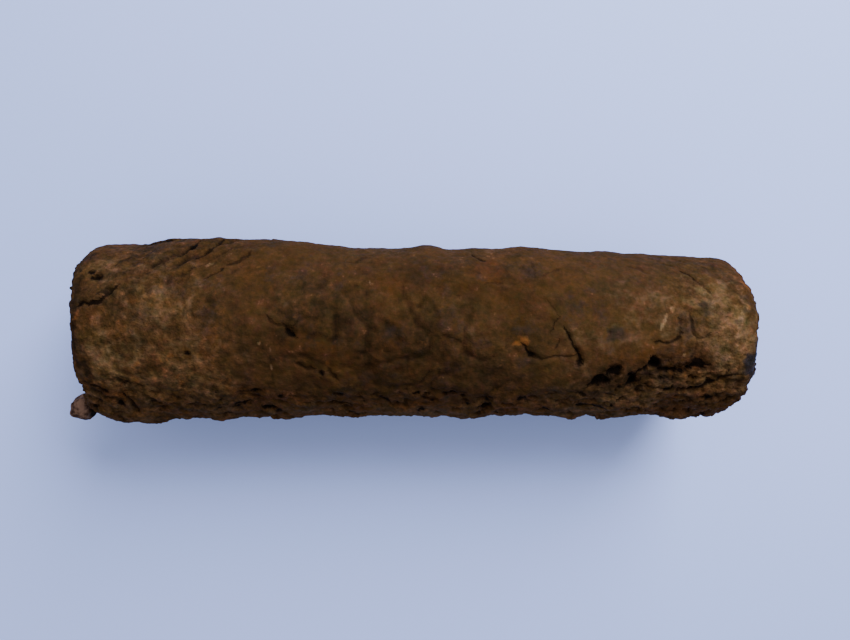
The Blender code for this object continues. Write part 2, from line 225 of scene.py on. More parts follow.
@dataclass(frozen=True)
class Spot:
    """An oval place on the pipe, where something is raised, sunk or coloured.

    Attributes:
        place: Its middle, as millimetres along and degrees round.
        along: Half its length along the pipe, in millimetres.
        around: Half its width round the pipe, in millimetres.
        amount: Height, depth or strength at its middle.
        turn: Degrees that its length is turned, from +X towards rising angle.
        edge: Share of its radius that the edge takes up, 1 being a soft spot.
    """

    place: Place
    along: float
    around: float
    amount: float = 1.0
    turn: float = 0.0
    edge: float = 1.0

    def over(self, ground: Ground, waver: Array | float = 0.0) -> Array:
        """This spot's amount at each point.

        Args:
            ground: The places to work it out for.
            waver: Noise that makes the spot's edge uneven.

        Returns:
            The amount, from 0 outside the spot.
        """
        return self.amount * smooth_step(1, 1 - self.edge, self.reach(ground) + waver)

    def reach(self, ground: Ground) -> Array:
        """Distance from the middle, 1 being the spot's edge.

        Args:
            ground: The places to work it out for.

        Returns:
            The distance as a share of the spot's half size.
        """
        right, up = ground.flat(self.place)
        cos, sin = np.cos(np.radians(self.turn)), np.sin(np.radians(self.turn))
        length = (right * cos + up * sin) / self.along
        width = (up * cos - right * sin) / self.around
        return np.hypot(length, width)

    def inside(self, ground: Ground, waver: Array | float = 0.0) -> Array:
        """Millimetres that each point lies inside the spot's darkest part."""
        return (1.3 - 0.3 * self.edge - self.reach(ground) - waver) * min(self.along, self.around)


@dataclass(frozen=True)
class Crack:
    """A crack that runs through some places on the pipe.

    Attributes:
        places: Points that it passes, as millimetres along and degrees round.
        width: Half its width in millimetres.
        depth: Its depth in millimetres.
        lip: Height of the edge that curls up beside it, in millimetres.
        widens: How much wider its last point is than its first.
        dark: How dark the painted shade is that the finish draws in it, and if it is not given, by its depth.
    """

    places: tuple[Place, ...]
    width: float
    depth: float
    lip: float = 0.0
    widens: float = 1.0
    dark: float | None = None

    # Millimetres in which a crack runs out beyond its ends, and a distance
    # that stands for nothing near.
    RUNS_OUT_IN: ClassVar[float] = 0.7
    FAR_OFF: ClassVar[float] = 1e3

    def over(self, ground: Ground, waver: tuple[Array, Array]) -> tuple[Array, Array, Array]:
        """How far each point lies from the crack, and how wide it is there.

        Args:
            ground: The places to work it out for.
            waver: Millimetres that the places are shifted by, along and round.

        Returns:
            Distance in millimetres, the same with a sign for its side, and
            half the width, which runs out to nothing beyond the crack's ends.
        """
        nearest = np.full(ground.along.shape, self.FAR_OFF)
        across, share, beyond = (np.zeros_like(nearest) for _ in range(3))
        last = len(self.places) - 2
        for index, (start, end) in enumerate(zip(self.places, self.places[1:])):
            right, up = ground.flat(start)
            right, up = right + waver[0], up + waver[1]
            run = end[0] - start[0], np.radians(end[1] - start[1]) * ground.mean_radius
            length = np.hypot(*run)
            raw = (right * run[0] + up * run[1]) / length**2
            part = np.clip(raw, 0, 1)
            distance = np.hypot(right - part * run[0], up - part * run[1])
            offset = (run[0] * up - run[1] * right) / length
            before = np.where(index == 0, np.clip(-raw, 0, None), 0) * length
            after = np.where(index == last, np.clip(raw - 1, 0, None), 0) * length
            outside = before + after
            signed = np.where(outside > 0, offset, np.sign(offset) * distance)
            closer = distance < nearest
            nearest = np.where(closer, distance, nearest)
            across = np.where(closer, signed, across)
            beyond = np.where(closer, outside, beyond)
            share = np.where(closer, (index + part) / (last + 1), share)
        width = self.width * (1 + (self.widens - 1) * share) * np.clip(1 - beyond / self.RUNS_OUT_IN, 0, 1)
        return nearest, across, width


# Torn grain on the left of the top: slits that rise to the right.
TORN_SLITS = (
    Crack(((-64.4, 33), (-63.4, 30), (-62.4, 25.5), (-61.7, 20.5), (-60.8, 13)), 0.62, 1.3, 0.35, 0.7, 1.0),
    Crack(((-59.6, 36.5), (-57.6, 33), (-56.2, 28), (-55.0, 22), (-54.6, 15)), 0.42, 1.0, 0.3, 1.0, 0.8),
    Crack(((-55.4, 52), (-53.1, 48), (-51.7, 45)), 0.32, 0.8, 0.25, 1.0, 0.7),
    Crack(((-50.8, 42.5), (-49.4, 40), (-47.8, 36), (-45.6, 31)), 0.34, 0.8, 0.25, 0.8, 0.6),
    Crack(((-49.8, 27), (-47.6, 23)), 0.26, 0.5, 0.15, 1.0, 0.35),
    Crack(((-80.6, 42), (-79.4, 37.5), (-78.0, 32)), 0.3, 0.5, 0.15, 1.0, 0.4),
    Crack(((-74.6, 34), (-72.6, 28)), 0.28, 0.5, 0.15, 1.0, 0.3),
    Crack(((-60.8, 47), (-59.2, 44), (-57.4, 42.5)), 0.28, 0.5, 0.15, 1.0, 0.4),
)
# The gap under the lifted flake at the top of the left end.
FLAKE_GAP = (
    Crack(((-77.6, 5), (-75.2, 8), (-72.6, 9), (-70.4, 8.5), (-68.2, 6.5)), 0.8, 0.7, 0.2, 0.7, 1.0),
)
# The jagged crack near the left end, and the broken edge below it.
LEFT_CRACKS = (
    Crack(
        ((-86.8, 71.5), (-85.6, 69.4), (-84.6, 70.8), (-83.2, 69.4), (-81.9, 70)),
        width=0.56,
        depth=1.0,
        lip=0.2,
        dark=0.95,
    ),
    Crack(((-81.9, 70), (-80.9, 66.5), (-79.9, 63.2), (-78.0, 60)), 0.6, 1.1, 0.2, 0.8, 0.85),
    Crack(((-82.0, 64), (-80.6, 61.5), (-79.0, 60.5)), 0.4, 0.5, 0.1, 1.0, 0.6),
    Crack(((-85.4, 126), (-83.5, 127), (-82, 128.5)), 0.4, 0.9, 0.1, 1.0, 0.7),
    Crack(((-77.4, 131), (-76.9, 134), (-76.3, 140), (-75.7, 147)), 0.42, 1.0, 0.2, 1.0, 0.75),
)
# The ragged crater left of the middle, and wrinkles like those in dried mud.
MIDDLE_CRACKS = (
    Crack(((-38.8, 76.5), (-37.6, 79.5), (-36.2, 81.6), (-34.6, 82.4), (-33.4, 84)), 0.3, 0.6, 0.2, 1.6, 0.5),
    Crack(((-33.6, 84.2), (-32.6, 86.4), (-31.7, 88.0)), 0.62, 1.2, 0.25, 1.0, 0.95),
    Crack(((-31.0, 79.0), (-31.4, 82), (-32.4, 84.6)), 0.26, 0.5, 0.15, 1.0, 0.45),
    Crack(((-8.6, 79), (-6.9, 83), (-5.8, 88), (-4.2, 93)), 0.9, 0.35, 0.2, 1.0, 0.12),
    Crack(((-11.6, 78.5), (-9.8, 78), (-8.2, 79.5)), 0.6, 0.3, 0.15, 1.0, 0.12),
    Crack(((-18.8, 36), (-16.6, 36.6), (-14.9, 33), (-13.8, 30)), 0.34, 0.3, 0.12, 1.0, 0.35),
    Crack(((5.2, 71), (5.6, 77), (6.0, 82)), 0.6, 0.3, 0.1, 1.0, 0.12),
    Crack(((7.6, 87.5), (9.6, 88.6), (11.9, 91)), 0.55, 0.35, 0.15, 1.0, 0.22),
    Crack(((-30.6, 106), (-28.5, 108.5), (-26.8, 109)), 0.4, 0.7, 0.15, 1.0, 0.5),
    Crack(((-22.5, 110), (-21.8, 113), (-20.9, 115)), 0.4, 0.7, 0.15, 1.0, 0.55),
    Crack(((1.4, 119), (2.6, 116), (3.6, 112)), 0.4, 0.5, 0.1, 1.0, 0.4),
    Crack(((16.4, 23), (17.6, 27.5), (19.0, 30.5)), 0.42, 0.7, 0.15, 1.0, 0.8),
    Crack(((18.8, 53.6), (20.6, 52.2), (22.8, 52.4)), 0.32, 0.3, 0.15, 1.0, 0.35),
)
# The crack shaped like a leaning A, right of the middle.
LEANING_CRACKS = (
    Crack(((28.6, 93.6), (29.4, 96), (30.4, 98.8), (31.8, 101)), 0.42, 1.1, 0.15, 1.0, 0.95),
    Crack(
        ((31.8, 101), (34.2, 101.6), (36.9, 100.2), (39.8, 100.2), (42.4, 99.6)),
        width=0.26,
        depth=0.45,
        lip=0.12,
        dark=0.5,
    ),
    Crack(((39.6, 82), (40.6, 87), (41.6, 92), (42.8, 97), (44.2, 103.4)), 0.2, 1.2, 0.2, 3.4, 0.95),
    Crack(((37.8, 75.5), (37.2, 78), (36.1, 82.5)), 0.28, 0.5, 0.12, 1.0, 0.6),
    Crack(((35.6, 65), (36.3, 68.5), (37.4, 73)), 0.28, 0.3, 0.08, 1.0, 0.3),
    Crack(((37.3, 94), (38.0, 90.4)), 0.28, 0.4, 0.0, 1.0, 0.6),
)
# The net of cracks in the smooth skin near the right end.
RIGHT_CRACKS = (
    Crack(((64.2, 89.6), (66.6, 90.6), (68.6, 89.8), (70.1, 87), (70.8, 83.6)), 0.34, 0.6, 0.14, 1.0, 0.75),
    Crack(((70.8, 83.6), (71.0, 79), (70.4, 75)), 0.26, 0.4, 0.1, 1.0, 0.5),
    Crack(((73.4, 73.5), (73.6, 77), (73.9, 81), (74.4, 85), (75.4, 88)), 0.3, 0.6, 0.14, 1.0, 0.6),
    Crack(((75.4, 88), (76.6, 87.4), (77.9, 85)), 0.3, 0.4, 0.1, 1.0, 0.6),
    Crack(((75.0, 89.5), (74.7, 94), (74.4, 99), (73.9, 104), (73.5, 108)), 0.26, 0.5, 0.1, 1.0, 0.45),
    Crack(((74.4, 35), (76.0, 40.5), (77.4, 46.4)), 0.32, 0.7, 0.25, 1.0, 0.75),
    Crack(((77.4, 46.4), (78.3, 51), (79.6, 56)), 0.26, 0.4, 0.15, 1.0, 0.5),
    Crack(((76.6, 124.5), (78.5, 121), (80.2, 119), (81.6, 117.8)), 0.7, 1.0, 0.4, 0.8, 0.9),
    Crack(((82.4, 117), (83.8, 115), (85.7, 112.4), (87.4, 112)), 0.6, 0.9, 0.4, 0.7, 0.75),
    Crack(((69.6, 26.5), (71.4, 29.5), (72.9, 30)), 0.28, 0.3, 0.1, 1.0, 0.3),
    Crack(((60.0, 33), (62.4, 35.5), (64.2, 39)), 0.3, 0.3, 0.1, 1.0, 0.35),
    Crack(((32.6, 34), (32.9, 41), (32.2, 48)), 0.34, 0.3, 0.1, 1.0, 0.3),
    Crack(((35.0, 45), (37.4, 41.5), (39.5, 38.5)), 0.34, 0.3, 0.1, 1.0, 0.35),
)
# Jagged openings in the broken rust below the smooth skin.
RIGHT_OPENINGS = (
    Crack(((47.2, 121), (48.6, 119), (49.6, 116), (50.4, 112.6)), 0.75, 1.3, 0.3, 1.0, 0.95),
    Crack(((50.6, 118.5), (51.8, 115)), 0.5, 1.0, 0.2, 1.0, 0.85),
    Crack(((51.6, 112), (52.9, 109.4), (54.4, 106.6)), 0.55, 1.1, 0.2, 0.8, 0.9),
    Crack(((57.4, 121), (58.6, 118), (59.0, 114.5)), 0.6, 1.2, 0.3, 1.0, 0.9),
    Crack(((58.6, 111.6), (60.4, 109.2), (61.6, 107.6)), 0.42, 0.9, 0.2, 1.0, 0.8),
    Crack(((63.4, 101.6), (64.2, 104.5), (65.4, 107.4)), 0.75, 1.3, 0.2, 0.9, 0.95),
    Crack(((66.8, 109.4), (69.2, 109.0)), 0.5, 0.9, 0.2, 0.8, 0.85),
    Crack(((66.8, 113), (68.4, 114.6), (69.6, 117)), 0.3, 0.7, 0.15, 0.8, 0.5),
    Crack(((60.8, 116), (61.2, 120), (60.6, 124)), 0.34, 0.8, 0.15, 1.0, 0.6),
    Crack(((44.4, 127), (46.6, 129.5)), 0.42, 0.9, 0.2, 1.0, 0.7),
    Crack(((52.4, 126), (54.4, 129)), 0.34, 0.8, 0.2, 1.0, 0.6),
    Crack(((64.0, 121.5), (67.2, 122.5)), 0.34, 0.7, 0.2, 1.0, 0.5),
    Crack(((46.0, 143), (49.5, 141.5), (53.5, 144)), 0.7, 1.2, 0.3, 1.0, 0.9),
    Crack(((59.0, 146), (62.0, 144), (64.6, 146)), 0.6, 1.0, 0.3, 1.0, 0.8),
    Crack(((70.5, 134), (73.5, 137)), 0.36, 0.8, 0.3, 1.0, 0.5),
)
# Cracks on the sides that face away, of the kinds that are seen on top.
HIDDEN_CRACKS = (
    Crack(((-70, 338), (-64, 334), (-59, 337), (-52, 331), (-47, 333)), 0.45, 1.2, 0.2),
    Crack(((-30, 350), (-25, 345), (-22, 338), (-14, 336)), 0.4, 0.9, 0.2, 1.6),
    Crack(((6, 330), (12, 334), (15, 341), (22, 343), (27, 350)), 0.4, 1.0, 0.2),
    Crack(((44, 344), (50, 341), (57, 345), (61, 351), (68, 350)), 0.45, 1.1, 0.2),
    Crack(((-80, 205), (-73, 209), (-68, 206), (-60, 212)), 0.45, 1.2, 0.25),
    Crack(((-20, 198), (-13, 203), (-5, 201), (2, 207), (10, 205)), 0.45, 1.1, 0.25),
    Crack(((30, 210), (37, 206), (45, 209), (52, 203)), 0.4, 1.2, 0.25),
    Crack(((-50, 262), (-41, 258), (-33, 263), (-22, 259)), 0.4, 1.0, 0.1),
    Crack(((18, 276), (27, 271), (38, 275), (47, 270), (58, 274)), 0.4, 1.0, 0.1),
    Crack(((62, 232), (68, 238), (71, 246), (79, 249)), 0.4, 0.9, 0.2),
    Crack(((-88, 300), (-82, 296), (-77, 301), (-70, 298)), 0.45, 1.1, 0.2),
)
CRACKS = (
    *TORN_SLITS,
    *FLAKE_GAP,
    *LEFT_CRACKS,
    *MIDDLE_CRACKS,
    *LEANING_CRACKS,
    *RIGHT_CRACKS,
    *RIGHT_OPENINGS,
    *HIDDEN_CRACKS,
)

# Single holes and pits, with their depth in millimetres.
PITS = (
    Spot((-84.0, 52.6), 1.3, 0.85, 1.0, -8, 0.6),
    Spot((-85.9, 48.4), 0.8, 0.7, 0.6, 0, 0.7),
    Spot((-58.9, 99.8), 0.75, 0.75, 0.6, 0, 0.9),
    Spot((-54.6, 75), 1.1, 1.0, 0.35, 0, 1.0),
    Spot((-60.0, 77), 0.9, 0.9, 0.3, 0, 1.0),
    Spot((-61.8, 86), 1.2, 0.9, 0.35, 0, 1.0),
    Spot((-79.2, 138), 1.0, 1.4, 1.1, 0, 0.8),
    Spot((-42.6, 126.5), 1.6, 0.7, 1.2, -15, 0.7),
    Spot((-48.0, 141), 1.8, 0.8, 1.2, 0, 0.7),
    Spot((-39.6, 147), 2.4, 1.0, 1.4, 0, 0.7),
    Spot((-36.0, 131), 0.7, 1.1, 0.9, 30, 0.8),
    Spot((-20.4, 128.5), 1.4, 0.6, 1.0, 0, 0.7),
    Spot((-20.4, 141), 2.4, 0.6, 1.1, 0, 0.7),
    Spot((-24.3, 111.5), 0.8, 0.8, 0.8, 0, 0.8),
    Spot((-10.0, 97.5), 2.3, 1.6, 0.4, 0, 1.0),
    Spot((-24.5, 48), 0.9, 1.1, 0.35, 0, 1.0),
    Spot((-23.9, 59), 1.1, 1.3, 0.4, 0, 1.0),
    Spot((-15.9, 56), 0.8, 1.0, 0.4, 30, 1.0),
    Spot((-13.2, 63), 1.0, 1.0, 0.45, 0, 1.0),
    Spot((10.6, 91), 1.1, 0.8, 0.35, -20, 1.0),
    Spot((19.9, 55.5), 1.1, 1.2, 0.5, 0, 1.0),
    Spot((0.6, 128.5), 1.05, 0.6, 1.2, 0, 0.7),
    Spot((3.4, 129.6), 0.9, 0.55, 1.1, -20, 0.7),
    Spot((2.6, 133), 0.7, 0.5, 0.9, 20, 0.7),
    Spot((8.6, 129.6), 0.8, 0.8, 1.2, 20, 0.7),
    Spot((10.6, 128.6), 1.2, 0.65, 1.3, -20, 0.7),
    Spot((13.2, 131), 0.6, 0.6, 0.9, 0, 0.7),
    Spot((19.4, 142), 1.7, 0.7, 1.0, 0, 0.7),
    Spot((20.6, 132), 0.8, 0.7, 0.7, 0, 0.8),
    Spot((43.6, 103), 0.7, 1.2, 0.7, 10, 0.7),
    Spot((62.2, 108.5), 0.7, 1.0, 0.6, 0, 0.8),
    Spot((73.6, 107.5), 0.5, 0.9, 0.6, 0, 0.8),
    Spot((51.6, 84), 1.0, 0.9, 0.3, 0, 1.0),
    Spot((49.6, 117), 1.7, 1.3, 1.0, -50, 0.7),
    Spot((47.4, 119.6), 1.0, 0.8, 0.7, 0, 0.7),
    Spot((51.9, 116.4), 0.9, 0.7, 0.7, 30, 0.7),
    Spot((52.8, 110), 1.1, 0.8, 0.7, -30, 0.7),
    Spot((54.6, 107.4), 0.9, 0.6, 0.6, 0, 0.7),
    Spot((58.8, 117.4), 1.6, 1.0, 1.0, -70, 0.7),
    Spot((58.0, 112), 0.7, 0.9, 0.6, 0, 0.7),
    Spot((60.4, 109.4), 0.8, 0.7, 0.6, 0, 0.7),
    Spot((64.4, 105), 1.3, 1.5, 1.1, 20, 0.7),
    Spot((66.2, 108.6), 0.8, 0.7, 0.7, 0, 0.7),
    Spot((64.0, 101.4), 0.7, 0.8, 0.5, 0, 0.7),
    Spot((69.6, 109.5), 0.9, 0.6, 0.6, 0, 0.7),
    Spot((66.6, 114.4), 0.7, 0.5, 0.5, 0, 0.7),
    Spot((55.4, 121.6), 0.7, 0.5, 0.5, 0, 0.7),
)

# Raised knobs and ledges, with their height in millimetres.
KNOBS = (
    Spot((-72.4, 4), 4.8, 3.0, 0.3, 0, 0.6),
    Spot((-57.5, 5), 3.0, 5.0, 0.35, 0, 0.8),
    Spot((81.0, 124), 6.5, 4.0, 0.5, 20, 0.35),
    Spot((66, 126), 5.0, 4.0, 0.4, -10, 0.5),
)


class Layer(str, Enum):
    """What lies at the surface, each stored on the mesh under this name."""

    EARTH = "dried_earth"
    RUST = "red_rust"
    OCHRE = "ochre_rust"
    SCALE = "grey_scale"
    PALE = "pale_crust"
    BARE = "bare_iron"
    # Dark stains, and painted shade along the ends' outlines, in shallow pits and where the stone meets the
    # pipe.
    STAIN_AND_SHADE = "dark_stain_and_shade"
    GRIT = "grit"
    # How deep each place lies in a hollow, which the finish darkens as painted shade.
    HOLLOW = "hollow"
    GRAIN = "torn_grain"
    # Distances and strengths by which the finish draws cracks and holes as painted shade, finer than the
    # mesh.
    ACROSS = "crack_across"
    WIDTH = "crack_width"
    DARK = "crack_dark"
    PIT = "pit_level"


# Where each layer shows more, as placed spots. Amounts add up and may be negative.
LAYER_SPOTS: dict[Layer, tuple[Spot, ...]] = {
    Layer.EARTH: (
        Spot((66, 66), 46, 24, 0.25, 0, 1.0),
        Spot((86, 88), 15, 22, 0.7, 0, 1.0),
        Spot((82, 56), 12, 12, 0.5, 0, 1.0),
        Spot((-84, 42), 8.0, 7.0, 0.35, 0, 1.0),
        Spot((-67, 68), 12, 9.0, 0.6, 0, 1.0),
        Spot((-55, 55), 8.0, 9.0, 0.3, 0, 1.0),
        # The strong earth spots low on the near side, about 115 to 140 degrees round, are partly light earth
        # and partly painted fill light where the room lights it little.
        Spot((-81, 120), 17, 14, 1.3, 0, 1.0),
        Spot((-82, 92), 10, 10, 0.5, 0, 1.0),
        Spot((-60, 116), 16, 8.0, 0.6, 0, 1.0),
        Spot((76, 122), 20, 12, 1.1, 0, 1.0),
        Spot((58, 134), 18, 9.0, 0.7, 0, 1.0),
        Spot((84, 140), 12, 10, 0.7, 0, 1.0),
        Spot((46, 88), 26, 13, 0.2, 0, 0.9),
        # Less earth along the top middle, which faces the window: partly the earth's own tone and partly
        # painted shade that evens out the light round the pipe.
        Spot((2, 52), 60, 13, -0.35, 0, 1.0),
        Spot((-56, 96), 8.0, 8.0, 0.35, 0, 1.0),
        Spot((28, 72), 14, 16, -0.3, 0, 1.0),
        Spot((-76, 46), 16, 12, 0.1, 0, 0.9),
        Spot((-62, 92), 14, 12, 0.3, 0, 0.9),
        Spot((-30, 92), 16, 12, -0.4, 0, 1.0),
        Spot((-6, 96), 24, 16, -0.45, 0, 1.0),
        Spot((14, 112), 24, 14, -0.15, 0, 1.0),
        Spot((18, 78), 12, 12, 0.12, 0, 1.0),
    ),
    Layer.RUST: (
        Spot((0, 76), 48, 28, -0.3, 0, 1.0),
        Spot((20, 42), 8.5, 8.0, 0.65, 0, 0.8),
        Spot((21, 33), 3.0, 2.6, 0.5, 0, 0.8),
        Spot((-57, 36), 5.0, 2.6, 0.45, -40, 0.9),
        Spot((-73, 68), 3.0, 2.6, 0.75, 0, 0.9),
        Spot((-84, 78), 6.0, 6.0, 0.35, 0, 1.0),
        Spot((-60, 100), 12, 7.0, 0.3, 0, 1.0),
        Spot((13, 80), 6.0, 5.0, 0.35, 0, 1.0),
        Spot((56, 100), 14, 5.0, 0.45, 0, 1.0),
        Spot((74, 100), 10, 7.0, 0.4, 0, 1.0),
        Spot((80, 134), 14, 7.0, 0.3, 0, 0.8),
        Spot((92, 48), 6.0, 9.0, 0.55, 0, 0.9),
        Spot((-88, 100), 5.0, 20, 0.35, 0, 1.0),
        Spot((-80, 130), 10, 8.0, 0.45, 0, 1.0),
        Spot((-35, 132), 12, 5.0, 0.4, 0, 1.0),
        Spot((5, 140), 20, 5.0, 0.4, 0, 1.0),
        Spot((-26, 74), 2.4, 2.4, 0.7, 0, 0.9),
        Spot((-38, 60), 1.5, 2.0, 0.5, 0, 0.9),
    ),
    Layer.OCHRE: (
        Spot((28.4, 90), 2.9, 2.2, 1.0, 10, 0.75),
        Spot((26.2, 92.5), 1.6, 1.4, 0.9, 0, 0.8),
        Spot((-67, 104), 9.0, 6.0, 0.35, 0, 1.0),
        Spot((-56, 110), 8.0, 5.0, 0.3, 0, 1.0),
        Spot((-87, 76), 1.5, 3.0, 0.55, 0, 0.9),
        Spot((-85, 122), 4.0, 3.0, 0.5, 0, 1.0),
        Spot((-23, 104.5), 1.5, 1.6, 0.85, 0, 0.8),
        Spot((-25.5, 115), 1.2, 1.4, 0.8, 0, 0.8),
        Spot((21.3, 34), 1.6, 1.2, 0.7, 0, 0.8),
        Spot((62.8, 108), 1.5, 1.4, 0.7, 0, 0.8),
        Spot((90.6, 49), 1.5, 3.4, 0.9, 0, 0.8),
        Spot((89.6, 67), 1.4, 1.6, 0.7, 0, 0.8),
        Spot((48, 120), 4.0, 3.0, 0.35, 0, 1.0),
        Spot((21, 102), 7.0, 5.0, 0.25, 0, 1.0),
        Spot((2, 92), 3.0, 2.0, 0.3, 0, 1.0),
        Spot((91.5, 132), 3.0, 6.0, 0.6, 0, 0.9),
        Spot((-80, 123), 14, 9.0, 0.4, 0, 1.0),
        Spot((-64, 115), 12, 6.0, 0.35, 0, 1.0),
        Spot((76, 122), 16, 9.0, 0.3, 0, 1.0),
        Spot((54, 132), 14, 6.0, 0.25, 0, 1.0),
    ),
    Layer.SCALE: (
        Spot((53.4, 84.5), 4.8, 3.0, 1.15, -8, 1.0),
        Spot((48.0, 88), 3.0, 2.2, 0.35, 0, 0.9),
        Spot((43, 66), 4.0, 4.0, 0.25, 0, 1.0),
        Spot((-70, 30), 9.0, 5.0, 0.35, -30, 0.9),
        Spot((-66, 52), 7.0, 5.0, 0.45, -20, 1.0),
        Spot((-52, 74), 5.0, 5.0, 0.45, 0, 1.0),
        Spot((-62, 88), 7.0, 5.0, 0.3, 0, 1.0),
        Spot((-20, 92), 3.0, 3.0, 0.4, 0, 1.0),
        Spot((-24, 112), 6.0, 3.6, 0.5, 0, 1.0),
        Spot((-22, 128), 7.0, 3.5, 0.5, 0, 1.0),
        Spot((-4, 86), 8.0, 5.0, 0.35, 40, 1.0),
        Spot((8, 66), 7.0, 8.0, 0.25, 0, 1.0),
        Spot((9, 135), 9.0, 2.6, 0.5, 0, 1.0),
        Spot((86.2, 76), 1.5, 1.3, 0.55, 0, 1.0),
        Spot((86.9, 68.3), 0.7, 0.6, 0.9, 0, 0.8),
        Spot((77.5, 66), 3.0, 7.0, 0.3, 0, 1.0),
        Spot((50, 115), 6.0, 3.6, 0.6, -40, 0.9),
        Spot((65, 110), 6.0, 5.0, 0.6, 0, 0.9),
        Spot((-88, 60), 4.0, 12, 0.3, 0, 1.0),
    ),
    Layer.PALE: (
        Spot((68.7, 68.5), 1.1, 1.9, 1.1, 0, 0.9),
        Spot((66.8, 74.5), 1.0, 2.4, 1.3, 16, 0.9),
        Spot((65.2, 80.5), 0.9, 2.0, 1.0, 16, 0.9),
        Spot((70.6, 57), 0.7, 1.6, 0.55, 0, 0.9),
        Spot((85.6, 86), 1.5, 1.4, 0.85, 0, 0.9),
        Spot((87.2, 74), 1.3, 2.6, 0.55, 0, 0.9),
        Spot((85.8, 92), 0.8, 0.7, 0.8, 0, 0.9),
        Spot((71.8, 98), 1.2, 1.2, 0.75, 0, 0.9),
        Spot((88, 62), 4.0, 8.0, 0.3, 0, 1.0),
        Spot((-12.4, 53.5), 0.7, 1.1, 0.6, 0, 0.9),
        Spot((-37.6, 108.5), 0.55, 1.5, 0.9, 0, 0.8),
        Spot((-40.4, 93), 0.8, 0.7, 0.7, 0, 0.9),
        Spot((-37.3, 97), 0.7, 0.7, 0.7, 0, 0.9),
        Spot((-55, 41), 2.6, 1.4, 0.5, -35, 0.9),
        Spot((-50.5, 33), 1.8, 0.8, 0.5, -35, 0.9),
        Spot((56, 114), 1.8, 3.2, 0.5, -40, 0.9),
        Spot((77, 110), 1.4, 0.9, 0.5, 0, 0.9),
        Spot((-12, 58), 4.0, 3.0, 0.15, 0, 1.0),
    ),
    # Dark stains; the thin spots along both ends' outlines, the spot where the stone meets the pipe and the
    # small spots over pits are painted shade.
    Layer.STAIN_AND_SHADE: (
        Spot((-73, 9.5), 4.6, 3.2, 1.0, 0, 0.5),
        Spot((-78.6, 36), 3.4, 1.2, 0.7, -50, 0.9),
        Spot((-74.5, 41), 4.0, 1.4, 0.5, -40, 0.9),
        Spot((-70.5, 45), 5.0, 2.0, 0.5, -35, 1.0),
        Spot((-64.5, 55), 4.0, 2.6, 0.5, -20, 1.0),
        Spot((-86.5, 62), 2.4, 6.0, 0.5, 0, 1.0),
        Spot((-52.5, 68), 3.6, 3.4, 0.6, 0, 1.0),
        Spot((-46.5, 72), 4.5, 3.0, 0.5, 0, 1.0),
        Spot((-76, 118), 3.4, 2.4, 0.7, 20, 1.0),
        Spot((-60, 118), 4.2, 2.0, 0.6, 0, 1.0),
        Spot((-50, 117), 5.0, 2.0, 0.6, 0, 1.0),
        # Painted shade along the left end's outline.
        Spot((-88.3, 80), 1.1, 24, 0.8, 0, 0.7),
        # Painted shade where the stone meets the pipe.
        Spot((-89.5, 175), 3.2, 4.6, 1.0, 0, 0.6),
        Spot((-62.5, 27), 3.0, 1.8, 0.6, -40, 0.9),
        # Painted shade in shallow pits.
        Spot((-24.2, 54), 1.5, 4.0, 0.6, 0, 1.0),
        Spot((-15.9, 56), 1.2, 1.4, 0.8, 30, 1.0),
        Spot((19.9, 55.5), 1.6, 1.6, 0.8, 0, 1.0),
        # Painted shade along the right end's outline.
        Spot((93.4, 78), 1.3, 26, 0.9, 0, 0.9),
        Spot((93.0, 118), 1.5, 12, 0.8, 0, 0.9),
        # Painted shade along the left end's outline.
        Spot((-86.0, 114), 2.2, 9.0, 1.0, 0, 0.9),
        # Painted shade in shallow pits.
        Spot((-13.2, 62), 1.6, 2.4, 0.5, 0, 1.0),
        Spot((51.4, 84), 1.3, 1.2, 0.7, 0, 0.9),
        Spot((77.3, 68), 2.4, 2.6, 0.4, 0, 1.0),
        Spot((-73, 111), 8.0, 5.0, 0.35, 0, 1.0),
        Spot((-57, 76), 7.0, 3.0, 0.35, 0, 1.0),
        Spot((-35, 92), 9.0, 8.0, 0.3, 0, 1.0),
        Spot((-18, 76), 9.0, 7.0, 0.3, 0, 1.0),
        Spot((-30, 95), 18, 14, 0.35, 0, 1.0),
        Spot((-5, 100), 26, 15, 0.45, 0, 1.0),
        Spot((16, 118), 24, 12, 0.4, 0, 1.0),
        Spot((-20, 70), 20, 10, 0.15, 0, 1.0),
        Spot((52, 116), 14, 8, 0.4, -20, 0.9),
        Spot((68, 112), 12, 7, 0.4, 0, 0.9),
    ),
    Layer.BARE: (
        Spot((90.6, 104), 3.0, 5.6, 1.2, 0, 0.7),
        Spot((92.0, 96), 1.8, 5.0, 1.0, 0, 0.8),
        Spot((92.0, 112), 2.0, 4.0, 0.9, 0, 0.8),
    ),
}


